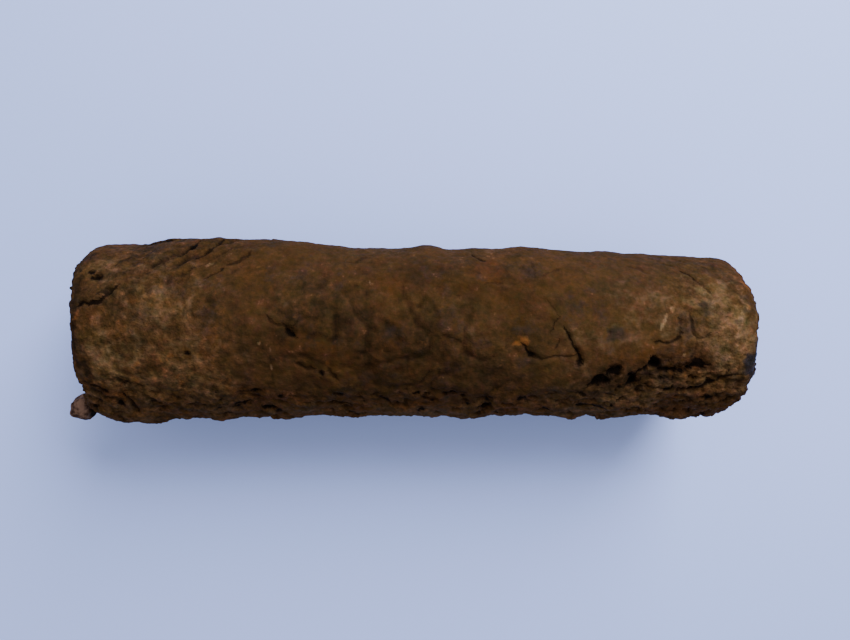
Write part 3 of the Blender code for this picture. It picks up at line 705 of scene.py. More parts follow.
class CrustRelief:
    """Works out the relief of the rusted surface and what lies on it.

    Each noise is given by its seed, and then by its size in millimetres and
    its number of layers.
    """

    GRAIN_MIDDLE: Place = (-57, 32)
    GRAIN_SLANT = -42.0
    # Degrees between which the smooth skin gives way to broken rust on the
    # near side, and between which the broken rust ends again underneath.
    SKIN_ENDS = (114, 138)
    BROKEN_RUST_ENDS = (252, 216)
    # Millimetres from a crack that are stored at most, and what is stored as
    # width and level where no crack and no hole is near.
    CRACK_REACH = 2.0
    NO_CRACK = -0.5
    NO_HOLE = -2.0
    # The most that is stored for any layer.
    THICKEST = 1.5

    def __init__(self, ground: Ground) -> None:
        """Read the places, and the noise that is used more than once.

        Args:
            ground: Where the relief is wanted.
        """
        self.ground = ground
        points = ground.points
        self.broad = Noise(11).layered(points, 24, 3)
        self.fine = Noise(12).layered(points, 3.2, 3)
        self.waver = (0.45 * Noise(13).layered(points, 3.4, 2), 0.45 * Noise(14).layered(points, 3.4, 2))
        self.masks = {layer: np.zeros(ground.along.shape) for layer in Layer}
        self.porous = self.find_porous()
        self.pore_level = np.full(ground.along.shape, self.NO_HOLE)

    def find_porous(self) -> Array:
        """Where the smooth skin is gone and the rust is open and broken.

        Returns:
            How broken the rust is at each point, 0 to 1.
        """
        ground = self.ground
        near_side = smooth_step(*self.SKIN_ENDS, ground.angle)
        near_side = near_side * smooth_step(*self.BROKEN_RUST_ENDS, ground.angle)
        lower_right = Spot((72, 136), 38, 20, 1.0, 0, 0.5).over(ground, 0.25 * self.broad)
        left_foot = Spot((-80, 140), 15, 13, 0.8, 0, 0.6).over(ground, 0.25 * self.broad)
        torn = (Spot((51, 115), 10, 5, 0.85, -40, 0.7), Spot((65, 109), 11, 6, 0.8, 0, 0.7))
        cavities = sum(spot.over(ground, 0.3 * self.broad) for spot in torn)
        underneath = smooth_step(0.05, 0.35, Noise(15).layered(ground.points, 34, 2))
        underneath = underneath * smooth_step(215, 240, ground.angle) * 0.8
        faces = 0.3 * smooth_step(0.6, 0, ground.outside)
        shares = [0.75 * near_side, lower_right, left_foot, cavities, underneath, faces]
        return np.clip(np.max(shares, axis=0), 0, 1)

    def swells(self) -> Array:
        """Soft uneven swelling of the whole crust.

        Returns:
            Its height in millimetres.
        """
        points = self.ground.points
        middle = Spot((-4, 92), 60, 26, 1.0, 0, 0.8).over(self.ground)
        lumps = 0.24 * Noise(21).layered(points, 15, 2) + 0.16 * Noise(22).at(points, 6.5)
        crumbs = 0.17 * Noise(35).layered(points, 3.6, 2, 0.6)
        waves = Noise(34).layered(points * np.array([1, 0.8, 0.8]), 7.5, 2)
        return lumps + middle * 0.55 * waves + crumbs

    def wrinkles(self) -> Array:
        """Soft valleys like those in dried mud, mostly over the middle.

        Returns:
            Their height in millimetres, which is below nothing.
        """
        middle = Spot((-2, 92), 52, 26, 1.0, 0, 0.8).over(self.ground)
        valleys = np.exp(-((Noise(23).layered(self.ground.points, 13, 2, 0.4) / 0.13) ** 2))
        creases = np.exp(-((Noise(24).layered(self.ground.points, 7, 2, 0.4) / 0.09) ** 2))
        return -(0.12 + 0.42 * middle) * valleys - (0.05 + 0.16 * middle) * creases

    def torn_grain(self) -> Array:
        """Ridges torn open along one slant, on the left of the top.

        Returns:
            Their height in millimetres.
        """
        right, up = self.ground.flat(self.GRAIN_MIDDLE)
        slant = np.radians(self.GRAIN_SLANT)
        lengthwise = right * np.cos(slant) + up * np.sin(slant)
        across = up * np.cos(slant) - right * np.sin(slant) + 1.3 * self.broad
        stretched = np.stack([lengthwise / 5.5, across, np.zeros_like(across)], axis=-1)
        ridges = 1 - np.abs(Noise(25).layered(stretched, 3.4, 2, 0.45)) * 2.2
        where = Spot(self.GRAIN_MIDDLE, 24, 15, 1.0, self.GRAIN_SLANT / 2, 0.7).over(self.ground)
        self.masks[Layer.GRAIN] = where
        return 0.7 * where * ridges

    def scale_steps(self) -> Array:
        """Plates of scale with sharp edges, in steps one above another.

        Returns:
            Their height in millimetres.
        """
        points = self.ground.points * np.array([0.55, 1, 1])
        wide_plates = smooth_step(0.02, 0.12, Noise(26).layered(points, 7.0, 4, 0.55)) - 0.5
        small_plates = smooth_step(0.10, 0.22, Noise(27).layered(points, 4.2, 3, 0.55)) - 0.5
        strength = 0.16 + 0.75 * self.porous
        return strength * (0.5 * wide_plates + 0.45 * small_plates)

    def open_pores(self) -> Array:
        """Sink pores where the rust is open, and note how deep in they are, so that the finish paints them
        black as painted shade.

        Returns:
            Their height in millimetres, which is below nothing.
        """
        openness = Noise(28).layered(self.ground.points, 3.6, 3, 0.6)
        pores = smooth_step(0.16, 0.5, openness)
        rare = smooth_step(0.42, 0.62, Noise(29).layered(self.ground.points, 3.0, 2, 0.6))
        hidden = np.maximum(self.porous, 0.25)
        self.pore_level = 1.6 * (openness - 0.92 + 0.42 * self.porous)
        return -(0.85 * self.porous * pores + 0.4 * hidden * rare)

    def grit(self) -> Array:
        """Grains of sand and rust in the surface."""
        rough = 0.045 + 0.16 * self.porous + 0.06 * smooth_step(-35, -60, self.ground.along)
        return rough * Noise(30).layered(self.ground.points, 1.7, 2, 0.7)

    def cut_cracks(self) -> Array:
        """Cut the placed cracks, and note where the finish paints shade into them.

        Returns:
            Their height in millimetres, with the lips beside them.
        """
        shape = self.ground.along.shape
        height, dark, owner = np.zeros(shape), np.zeros(shape), np.zeros(shape, int)
        nearest = np.full(shape, Crack.FAR_OFF)
        across = np.full(shape, self.CRACK_REACH)
        width = np.full(shape, self.NO_CRACK)
        uneven = np.clip(1 + 0.75 * Noise(36).layered(self.ground.points, 2.6, 2), 0.3, 1.7)
        for index, crack in enumerate(CRACKS):
            distance, signed, half = crack.over(self.ground, self.waver)
            half = half * uneven
            cut = np.maximum(1.35 * half, 0.5 * (half > 0))
            share = np.where(half > 0, np.exp(-((distance / np.maximum(cut, 0.1)) ** 2)), 0)
            lip = np.exp(-(((distance - 1.3 * cut - 0.5) / 0.6) ** 2)) * np.clip(half / crack.width, 0, 1)
            height += crack.lip * lip - 0.6 * crack.depth * share * np.clip(half / 0.5, 0.45, 1)
            closer = distance < nearest
            near = closer & (distance < 0.8 + 1.4 * crack.width * crack.widens)
            nearest = np.where(closer, distance, nearest)
            owner = np.where(closer, index, owner)
            across = np.where(closer, np.clip(signed, -self.CRACK_REACH, self.CRACK_REACH), across)
            width = np.where(near, half, np.where(closer, self.NO_CRACK, width))
            shade = min(0.95, 0.2 + 0.62 * crack.depth) if crack.dark is None else crack.dark
            dark = np.where(near, shade, dark)
        self.masks[Layer.ACROSS] = across
        self.masks[Layer.DARK] = dark
        self.masks[Layer.WIDTH] = self.without_clashes(owner, across, width)
        return height * self.ground.outside

    def without_clashes(self, owner: Array, across: Array, width: Array) -> Array:
        """Shut the false lines that would be drawn halfway between two cracks.

        Args:
            owner: Which crack is nearest to each point.
            across: Distance from it, with a sign for its side.
            width: Half the crack's width there.

        Returns:
            Half the width, and less than nothing where two cracks' areas meet.
        """
        clash = np.zeros(across.shape, bool)
        for shift in ((1, 0), (-1, 0), (0, 1), (0, -1), (1, 1), (1, -1), (-1, 1), (-1, -1)):
            other_owner = np.roll(owner, shift, (0, 1))
            other_across = np.roll(across, shift, (0, 1))
            clash |= (other_owner != owner) & (other_across * across < 0)
        return np.where(clash & (np.abs(across) > width), self.NO_CRACK, width)

    def sink_pits(self) -> Array:
        """Sink the placed holes and pits, and note how far in each point is, for the shade that the finish
        paints into them.

        Returns:
            Their height in millimetres, which is below nothing.
        """
        outside = self.ground.outside
        waver = 0.28 * self.fine
        height = np.zeros(outside.shape)
        level = np.where(self.porous > 0.2, self.pore_level, self.NO_HOLE)
        level = level * outside + self.NO_HOLE * (1 - outside)
        level = np.maximum(level, self.NO_HOLE)
        for pit in PITS:
            height -= pit.over(self.ground, waver)
            if pit.edge < 1:
                level = np.maximum(level, pit.inside(self.ground, waver))
        self.masks[Layer.PIT] = level
        return height * outside

    def raise_knobs(self) -> Array:
        """Raise the placed knobs and ledges."""
        return sum(knob.over(self.ground, 0.3 * self.fine) for knob in KNOBS) * self.ground.outside

    def end_layers(self) -> Array:
        """Leaves of rust that show as rings on the end faces.

        Returns:
            Their height in millimetres.
        """
        ground = self.ground
        radius = np.hypot(ground.points[..., 1], ground.points[..., 2])
        leaves = np.sin(radius * 3.4 + 2.4 * Noise(31).layered(ground.points, 9, 2))
        chips = smooth_step(0.05, 0.25, Noise(32).layered(ground.points, 5, 3))
        face = smooth_step(0.75, 0, ground.outside) * (1 - ground.bore)
        return face * (0.2 * leaves - 0.6 * chips)

    def bore_lumps(self) -> Array:
        """Rounded lumps of rust inside the bore."""
        lumps = Noise(33).layered(self.ground.points, 8, 3, 0.55)
        return self.ground.bore * (0.9 * np.abs(lumps) - 0.35 + 0.12 * self.fine)

    def height(self) -> Array:
        """Add up the whole relief.

        Returns:
            Its height above the solid's surface, in millimetres.
        """
        outer = self.swells() + self.wrinkles() + self.torn_grain() + self.raise_knobs()
        broken = self.scale_steps() + self.open_pores() + self.grit()
        inner = 1 - self.ground.bore
        cut = self.cut_cracks() + self.sink_pits()
        return inner * (outer + broken) + cut + self.end_layers() - self.bore_lumps()

    def lay_layers(self, hollow: Array) -> dict[Layer, Array]:
        """Spread earth, rust and scale over the surface.

        Args:
            hollow: How far each place lies below those round it, 0 to 1.

        Returns:
            For each layer, how much of it shows at each point, 0 and up, or
            for cracks and holes the distances that the finish draws them by.
        """
        ground = self.ground
        for layer, spots in LAYER_SPOTS.items():
            self.masks[layer] = sum(spot.over(ground, 0.35 * self.fine) for spot in spots)
        upward = np.clip(np.sin(np.radians(ground.angle)) * 0.6 + 0.4, 0, 1)
        # Low on the near side, away from the window, the surface gets more light earth and some rust: partly
        # their own colour and partly painted fill light where the room lights it little.
        near_side_fill = smooth_step(112, 150, ground.angle) * smooth_step(250, 215, ground.angle)
        earth = 0.42 + 0.22 * self.broad + 0.12 * upward - 0.2 * self.porous - 0.6 * ground.bore
        self.masks[Layer.EARTH] += earth
        self.masks[Layer.EARTH] += 0.85 * near_side_fill
        clouds = Noise(41).layered(ground.points, 17, 3)
        self.masks[Layer.RUST] += 0.16 + 0.3 * clouds + 0.35 * self.porous
        self.masks[Layer.RUST] += 0.5 * ground.bore + 0.15 * near_side_fill
        freckles = smooth_step(0.38, 0.62, Noise(42).layered(ground.points, 3.0, 2))
        left_side = 0.15 + 0.3 * smooth_step(0, -60, ground.along)
        self.masks[Layer.OCHRE] += left_side * freckles
        blotches = smooth_step(0.12, 0.5, Noise(43).layered(ground.points, 9, 3))
        self.masks[Layer.SCALE] += 0.4 * blotches + 0.35 * self.masks[Layer.GRAIN] * hollow
        left_end = smooth_step(-38, -62, ground.along)
        right_end = smooth_step(62, 78, ground.along)
        blots = smooth_step(0.08, 0.5, Noise(44).layered(ground.points, 3.6, 3, 0.7))
        self.masks[Layer.STAIN_AND_SHADE] += 0.3 * self.broad + 0.15 * self.porous
        self.masks[Layer.STAIN_AND_SHADE] += (0.28 + 0.22 * left_end + 0.1 * right_end) * blots
        grit = 0.1 + 0.6 * left_end + 0.6 * right_end + 0.85 * self.porous + 0.25 * self.broad
        self.masks[Layer.GRIT] = grit
        self.masks[Layer.HOLLOW] = hollow
        distances = (Layer.ACROSS, Layer.WIDTH, Layer.PIT)
        for layer, mask in self.masks.items():
            if layer not in distances:
                self.masks[layer] = np.clip(mask, 0, self.THICKEST)
        return self.masks


@dataclass(frozen=True)
class Coat:
    """One coat of rust, scale or earth over the ones before it.

    Attributes:
        layer: The stored mask that says where it lies.
        colour: Its colour as sRGB hex.
        breaks: How much patches, mottling, crumbs and grain break it up.
        span: Amounts between which it goes from hidden to plain.
        cover: How much of what lies under it is hidden where it is plain.
        channel: Which of the three unlike patterns of each size it follows.
    """

    layer: Layer
    colour: str
    breaks: tuple[float, float, float, float]
    span: tuple[float, float]
    cover: float = 1.0
    channel: int = 0


@dataclass(frozen=True)
class CrustFinish:
    """Finish of the rusted surface, from the bare iron up to dried earth.

    Wrought iron that rusted in the ground and then dried. It looks matt and
    gritty: thin brown earth over darker rust, red and ochre where the rust is
    fresh, grey where hard scale shows, and near black in its cracks.

    Attributes:
        dark_rust: Colour of the old rust, as sRGB hex like the others.
        brown_rust: Colour of the younger rust that clouds it.
        shadow: Colour of the painted shade inside cracks, holes and hollows.
        bare_iron: Colour of iron that has lost its rust.
        rust_roughness: Roughness of rust and earth.
        iron_roughness: Roughness of the bare iron, which is smoother.
        shine: Specular level of the dry, dusty surface.
        grain_size: Size of sand and rust grains in millimetres. Real ones are
            0.1 to 0.3 mm, and these are coarser, so that they show.
        crumb_size: Size of the earth's crumbs, in millimetres.
        mottle_size: Size of its mottles, in millimetres.
        patch_size: Size of the patches that one coat makes, in millimetres.
        cloud_size: Size of the clouds of younger rust, in millimetres.
        cloud_span: Where in the clouds' pattern the rust turns younger.
        heights: Height of mottles, crumbs and grains, in millimetres.
        drawn_depth: Depth of drawn cracks and holes, in millimetres.
        brightness_swing: How much patches, mottles, crumbs and grains vary
            the brightness.
        grit_swing: The same again on smooth and on gritty ground.
        hue_swing: How far red, green and blue swing apart.
        bare_break: How much crumbs break up the bare iron's edge.
        bare_span: Amounts between which bare iron goes from hidden to plain.
        crack_breaks: How much crumbs and mottles shift a crack's edge.
        crack_span: Millimetres inside the edge between which it turns dark.
        hole_break: How much crumbs shift a hole's edge.
        hole_span: Millimetres inside the edge between which it turns dark.
        hole_dark: How dark the painted shade in a hole is.
        hollow_break: How much mottles break up the shade in hollows.
        hollow_span: Depths between which that shade comes in.
        hollow_dark: How dark the painted shade in the deepest hollow is.
        coats: The coats, from the lowest to the top one.
    """

    dark_rust: str = "#21170B"
    brown_rust: str = "#36220C"
    shadow: str = "#070402"
    bare_iron: str = "#1E1A19"
    rust_roughness: float = 0.9
    iron_roughness: float = 0.45
    shine: float = 0.03
    grain_size: float = 0.5
    crumb_size: float = 1.2
    mottle_size: float = 2.6
    patch_size: float = 5.5
    cloud_size: float = 13.0
    cloud_span: tuple[float, float] = (-0.5, 0.5)
    heights: tuple[float, float, float] = (0.12, 0.12, 0.05)
    drawn_depth: float = 0.3
    brightness_swing: tuple[float, float, float, float] = (0.16, 0.24, 0.26, 0.14)
    grit_swing: tuple[float, float] = (0.4, 1.6)
    hue_swing: tuple[float, float, float] = (0.12, 0.08, 0.16)
    bare_break: float = 0.35
    bare_span: tuple[float, float] = (0.2, 1.05)
    crack_breaks: tuple[float, float] = (0.3, 0.12)
    crack_span: tuple[float, float] = (-0.22, 0.24)
    hole_break: float = 0.35
    hole_span: tuple[float, float] = (-0.25, 0.35)
    hole_dark: float = 0.95
    hollow_break: float = 0.2
    hollow_span: tuple[float, float] = (0.25, 1.2)
    hollow_dark: float = 0.6
    coats: tuple[Coat, ...] = (
        Coat(Layer.EARTH, "#3B2A16", (0.3, 0.2, 0.1, 0.04), (0.05, 0.95), 1.0, 0),
        Coat(Layer.EARTH, "#574329", (0.3, 0.25, 0.12, 0.05), (0.75, 1.7), 1.0, 2),
        Coat(Layer.RUST, "#3E240F", (0.35, 0.25, 0.12, 0.04), (0.25, 1.0), 0.85, 1),
        Coat(Layer.SCALE, "#261D15", (0.3, 0.28, 0.14, 0.04), (0.25, 0.9), 0.85, 2),
        # Dark stains, and painted shade along the ends' outlines, in shallow pits and where the stone meets
        # the pipe.
        Coat(Layer.STAIN_AND_SHADE, "#1B1208", (0.25, 0.25, 0.14, 0.05), (0.2, 0.9), 0.8, 1),
        Coat(Layer.OCHRE, "#583716", (0.15, 0.35, 0.3, 0.1), (0.35, 1.1), 0.8, 2),
        Coat(Layer.PALE, "#6E583D", (0.1, 0.3, 0.3, 0.1), (0.3, 1.1), 0.85, 0),
    )

    def material(self, name: str = "dried_earth_on_rusted_wrought_iron") -> bpy.types.Material:
        """Build the node material, coat by coat, from what the mesh stores.

        Args:
            name: The material's name.

        Returns:
            The new material.
        """
        material = bpy.data.materials.new(name)
        material.use_nodes = True
        tree = material.node_tree
        tree.nodes.clear()
        place = add_node(tree, "ShaderNodeTexCoord").outputs["Object"]
        stored = {
            layer: add_node(tree, "ShaderNodeAttribute", {"attribute_name": layer.value}).outputs["Fac"]
            for layer in Layer
        }
        sizes = (self.patch_size, self.mottle_size, self.crumb_size, self.grain_size)
        swings = [self.swing(tree, place, size) for size in sizes]
        patches, mottles, crumbs, grains = patterns = [
            add_node(tree, "ShaderNodeSeparateXYZ", None, {0: swing}).outputs for swing in swings
        ]
        clouds = self.swing(tree, place, self.cloud_size)
        start, full = self.cloud_span
        share = add_node(tree, MAP_RANGE, None, {0: clouds, 1: start, 2: full}).outputs[0]
        rusts = {6: linear(self.dark_rust), 7: linear(self.brown_rust)}
        colour = add_node(tree, MIX, COLOURS, {0: share, **rusts}).outputs[2]
        for coat in self.coats:
            breaks = [pattern[coat.channel] for pattern in patterns]
            colour = self.lay_coat(tree, coat, colour, stored[coat.layer], breaks)
        broken = {0: crumbs[1], 1: self.bare_break, 2: stored[Layer.BARE]}
        bare = add_node(tree, MATH, MULTIPLY_ADD, broken).outputs[0]
        start, full = self.bare_span
        bare = add_node(tree, MAP_RANGE, None, {0: bare, 1: start, 2: full}).outputs[0]
        colour = add_node(tree, MIX, COLOURS, {0: bare, 6: colour, 7: linear(self.bare_iron)}).outputs[2]
        for swing in swings[:3]:
            colour = self.tint(tree, colour, swing)
        uneven = [patches[1], mottles[2], crumbs[0], grains[1]]
        colour = self.speckle(tree, colour, uneven, stored[Layer.GRIT])
        # Painted shade: cracks, holes and hollows darken towards the shadow colour.
        painted_shade, drawn = self.draw_openings(tree, stored, crumbs[2], mottles[0])
        colour = add_node(tree, MIX, COLOURS, {0: painted_shade, 6: colour, 7: linear(self.shadow)}).outputs[2]
        normal = self.bump(tree, uneven[1:], drawn, stored[Layer.GRIT])
        roughness = {0: bare, 3: self.rust_roughness, 4: self.iron_roughness}
        rough = add_node(tree, MAP_RANGE, None, roughness).outputs[0]
        surface = add_node(
            tree,
            "ShaderNodeBsdfPrincipled",
            None,
            {"Base Color": colour, "Roughness": rough, "Normal": normal, "Specular IOR Level": self.shine},
        )
        add_node(tree, "ShaderNodeOutputMaterial", None, {"Surface": surface.outputs[0]})
        return material

    @staticmethod
    def swing(tree: Tree, place: Socket, size: float) -> Socket:
        """Add three unlike patterns of one size, as a vector about 0.

        Args:
            tree: The node tree to add to.
            place: Where the patterns are looked up.
            size: Their size in millimetres.

        Returns:
            The vector, each part mostly between -0.8 and 0.8.
        """
        looked_up = {"Vector": place, "Scale": 1 / (size * MM), "Detail": 3.0, "Roughness": 0.6}
        noise = add_node(tree, "ShaderNodeTexNoise", None, looked_up).outputs["Color"]
        centred = {0: noise, 1: (4, 4, 4), 2: (-2, -2, -2)}
        return add_node(tree, VECTOR_MATH, MULTIPLY_ADD, centred).outputs[0]

    @staticmethod
    def lay_coat(tree: Tree, coat: Coat, under: Socket, mask: Socket, breaks: list[Socket]) -> Socket:
        """Lay one coat over the colour under it, with a broken edge.

        Args:
            tree: The node tree to add to.
            coat: The coat.
            under: The colour below.
            mask: Where the coat lies.
            breaks: The patterns that break it up, from coarse to fine.

        Returns:
            The colour with the coat over it.
        """
        for pattern, strength in zip(breaks, coat.breaks):
            mask = add_node(tree, MATH, MULTIPLY_ADD, {0: pattern, 1: strength, 2: mask}).outputs[0]
        start, full = coat.span
        share = add_node(tree, MAP_RANGE, None, {0: mask, 1: start, 2: full, 4: coat.cover}).outputs[0]
        return add_node(tree, MIX, COLOURS, {0: share, 6: under, 7: linear(coat.colour)}).outputs[2]

    def tint(self, tree: Tree, colour: Socket, swing: Socket) -> Socket:
        """Swing red, green and blue apart a little, as rust and clay differ in hue."""
        factor = add_node(tree, VECTOR_MATH, MULTIPLY_ADD, {0: swing, 1: self.hue_swing, 2: (1, 1, 1)})
        return add_node(tree, VECTOR_MATH, MULTIPLY, {0: colour, 1: factor.outputs[0]}).outputs[0]

    def speckle(self, tree: Tree, colour: Socket, patterns: list[Socket], grit: Socket) -> Socket:
        """Vary the brightness from patch to patch and from grain to grain.

        Args:
            tree: The node tree to add to.
            colour: The colour to vary.
            patterns: Patches, mottles, crumbs and grains.
            grit: How gritty the ground is.

        Returns:
            The varied colour.
        """
        smooth, rough = self.grit_swing
        gritty = add_node(tree, MAP_RANGE, None, {0: grit, 3: smooth, 4: rough}).outputs[0]
        for pattern, strength in zip(patterns, self.brightness_swing):
            factor = add_node(tree, MATH, MULTIPLY, {0: pattern, 1: gritty}).outputs[0]
            factor = add_node(tree, MATH, MULTIPLY_ADD, {0: factor, 1: strength, 2: 1.0}).outputs[0]
            scaled = {0: colour, "Scale": factor}
            colour = add_node(tree, VECTOR_MATH, {"operation": "SCALE"}, scaled).outputs[0]
        return colour

    def draw_openings(
        self, tree: Tree, stored: dict[Layer, Socket], crumb: Socket, mottle: Socket
    ) -> tuple[Socket, Socket]:
        """Paint shade into cracks and holes finer than the mesh, from their distances, and into hollows by
        their depth.

        Args:
            tree: The node tree to add to.
            stored: The masks and distances that the mesh stores.
            crumb: The pattern that makes the edges jagged.
            mottle: The pattern that breaks up the shade in hollows.

        Returns:
            How dark the painted shade makes each place, and how much of it is crack or hole.
        """
        # Painted shade in cracks, with jagged edges.
        crumb_shift, mottle_shift = self.crack_breaks
        jagged = {0: crumb, 1: crumb_shift, 2: stored[Layer.ACROSS]}
        shifted = add_node(tree, MATH, MULTIPLY_ADD, jagged).outputs[0]
        distance = add_node(tree, MATH, {"operation": "ABSOLUTE"}, {0: shifted}).outputs[0]
        between = {0: stored[Layer.WIDTH], 1: distance}
        inside = add_node(tree, MATH, {"operation": "SUBTRACT"}, between).outputs[0]
        inside = add_node(tree, MATH, MULTIPLY_ADD, {0: mottle, 1: mottle_shift, 2: inside}).outputs[0]
        start, full = self.crack_span
        crack = add_node(tree, MAP_RANGE, None, {0: inside, 1: start, 2: full}).outputs[0]
        crack = add_node(tree, MATH, MULTIPLY, {0: crack, 1: stored[Layer.DARK]}).outputs[0]
        # Painted shade in holes and open pores.
        jagged = {0: crumb, 1: self.hole_break, 2: stored[Layer.PIT]}
        level = add_node(tree, MATH, MULTIPLY_ADD, jagged).outputs[0]
        start, full = self.hole_span
        hole = add_node(tree, MAP_RANGE, None, {0: level, 1: start, 2: full, 4: self.hole_dark}).outputs[0]
        drawn = add_node(tree, MATH, {"operation": "MAXIMUM"}, {0: crack, 1: hole}).outputs[0]
        # Painted shade in hollows, darker the deeper the hollow.
        broken = {0: mottle, 1: self.hollow_break, 2: stored[Layer.HOLLOW]}
        shade = add_node(tree, MATH, MULTIPLY_ADD, broken).outputs[0]
        start, full = self.hollow_span
        shade = add_node(tree, MAP_RANGE, None, {0: shade, 1: start, 2: full, 4: self.hollow_dark}).outputs[0]
        dark = add_node(tree, MATH, {"operation": "MAXIMUM"}, {0: drawn, 1: shade}).outputs[0]
        return dark, drawn

    def bump(self, tree: Tree, patterns: list[Socket], drawn: Socket, grit: Socket) -> Socket:
        """Add the relief that is finer than the mesh, as heights in millimetres.

        Args:
            tree: The node tree to add to.
            patterns: Mottles, crumbs and grains.
            drawn: How much of each place is crack or hole.
            grit: How gritty the ground is.

        Returns:
            The surface's direction with the relief.
        """
        mottle, crumb, grain = patterns
        mottle_height, crumb_height, grain_height = self.heights
        height = add_node(tree, MATH, MULTIPLY, {0: grain, 1: grain_height}).outputs[0]
        height = add_node(tree, MATH, MULTIPLY_ADD, {0: crumb, 1: crumb_height, 2: height}).outputs[0]
        height = add_node(tree, MATH, MULTIPLY, {0: height, 1: grit}).outputs[0]
        for pattern, share in ((mottle, mottle_height), (drawn, -self.drawn_depth)):
            height = add_node(tree, MATH, MULTIPLY_ADD, {0: pattern, 1: share, 2: height}).outputs[0]
        raised = {"Strength": 1.0, "Distance": MM, "Height": height}
        return add_node(tree, "ShaderNodeBump", None, raised).outputs["Normal"]


@dataclass(frozen=True)
class PebbleFinish:
    """Finish of the stone: a worn, slightly glassy quartz pebble.

    River-worn quartz with iron stain in its hollows. It looks grey-brown, with
    a soft shine where it is clean and rust colour where it meets the pipe.

    Attributes:
        clean: Colour of the clean stone, as sRGB hex like the others.
        stained: Colour of the patches that iron has stained.
        rusty: Colour of the rust on it.
        clean_roughness: Roughness of the clean stone.
        rusty_roughness: Roughness where rust covers it.
        shine: Specular level under its thin film of dust.
        patch_size: Size of the stained patches, in millimetres.
        patch_span: Where in their pattern the patches turn clean.
        grain_size: Size of the stone's grains, in millimetres.
        grain_height: Height of the grains, in millimetres.
        rust_break: How much the patches break up the rust's edge.
        rust_span: Amounts between which the rust goes from hidden to plain.
    """

    clean: str = "#6E5544"
    stained: str = "#2E1F17"
    rusty: str = "#0F0905"
    clean_roughness: float = 0.75
    rusty_roughness: float = 0.95
    shine: float = 0.05
    patch_size: float = 2.0
    patch_span: tuple[float, float] = (0.4, 0.6)
    grain_size: float = 0.5
    grain_height: float = 0.12
    rust_break: float = 0.8
    rust_span: tuple[float, float] = (0.6, 1.1)

    def material(self, name: str = "river_worn_quartz") -> bpy.types.Material:
        """Build the node material.

        Args:
            name: The material's name.

        Returns:
            The new material.
        """
        material = bpy.data.materials.new(name)
        material.use_nodes = True
        tree = material.node_tree
        tree.nodes.clear()
        place = add_node(tree, "ShaderNodeTexCoord").outputs["Object"]
        looked_up = [
            {"Vector": place, "Scale": 1 / (size * MM), "Detail": 3.0}
            for size in (self.patch_size, self.grain_size)
        ]
        patches, grain = (add_node(tree, "ShaderNodeTexNoise", None, how).outputs["Fac"] for how in looked_up)
        start, full = self.patch_span
        share = add_node(tree, MAP_RANGE, None, {0: patches, 1: start, 2: full}).outputs[0]
        stones = {6: linear(self.stained), 7: linear(self.clean)}
        colour = add_node(tree, MIX, COLOURS, {0: share, **stones}).outputs[2]
        rust = add_node(tree, "ShaderNodeAttribute", {"attribute_name": Layer.RUST.value}).outputs["Fac"]
        rust = add_node(tree, MATH, MULTIPLY_ADD, {0: patches, 1: self.rust_break, 2: rust}).outputs[0]
        start, full = self.rust_span
        rust = add_node(tree, MAP_RANGE, None, {0: rust, 1: start, 2: full}).outputs[0]
        colour = add_node(tree, MIX, COLOURS, {0: rust, 6: colour, 7: linear(self.rusty)}).outputs[2]
        roughness = {0: rust, 3: self.clean_roughness, 4: self.rusty_roughness}
        rough = add_node(tree, MAP_RANGE, None, roughness).outputs[0]
        raised = {"Strength": 1.0, "Distance": self.grain_height * MM, "Height": grain}
        bump = add_node(tree, "ShaderNodeBump", None, raised).outputs["Normal"]
        surface = add_node(
            tree,
            "ShaderNodeBsdfPrincipled",
            None,
            {"Base Color": colour, "Roughness": rough, "Normal": bump, "Specular IOR Level": self.shine},
        )
        add_node(tree, "ShaderNodeOutputMaterial", None, {"Surface": surface.outputs[0]})
        return material


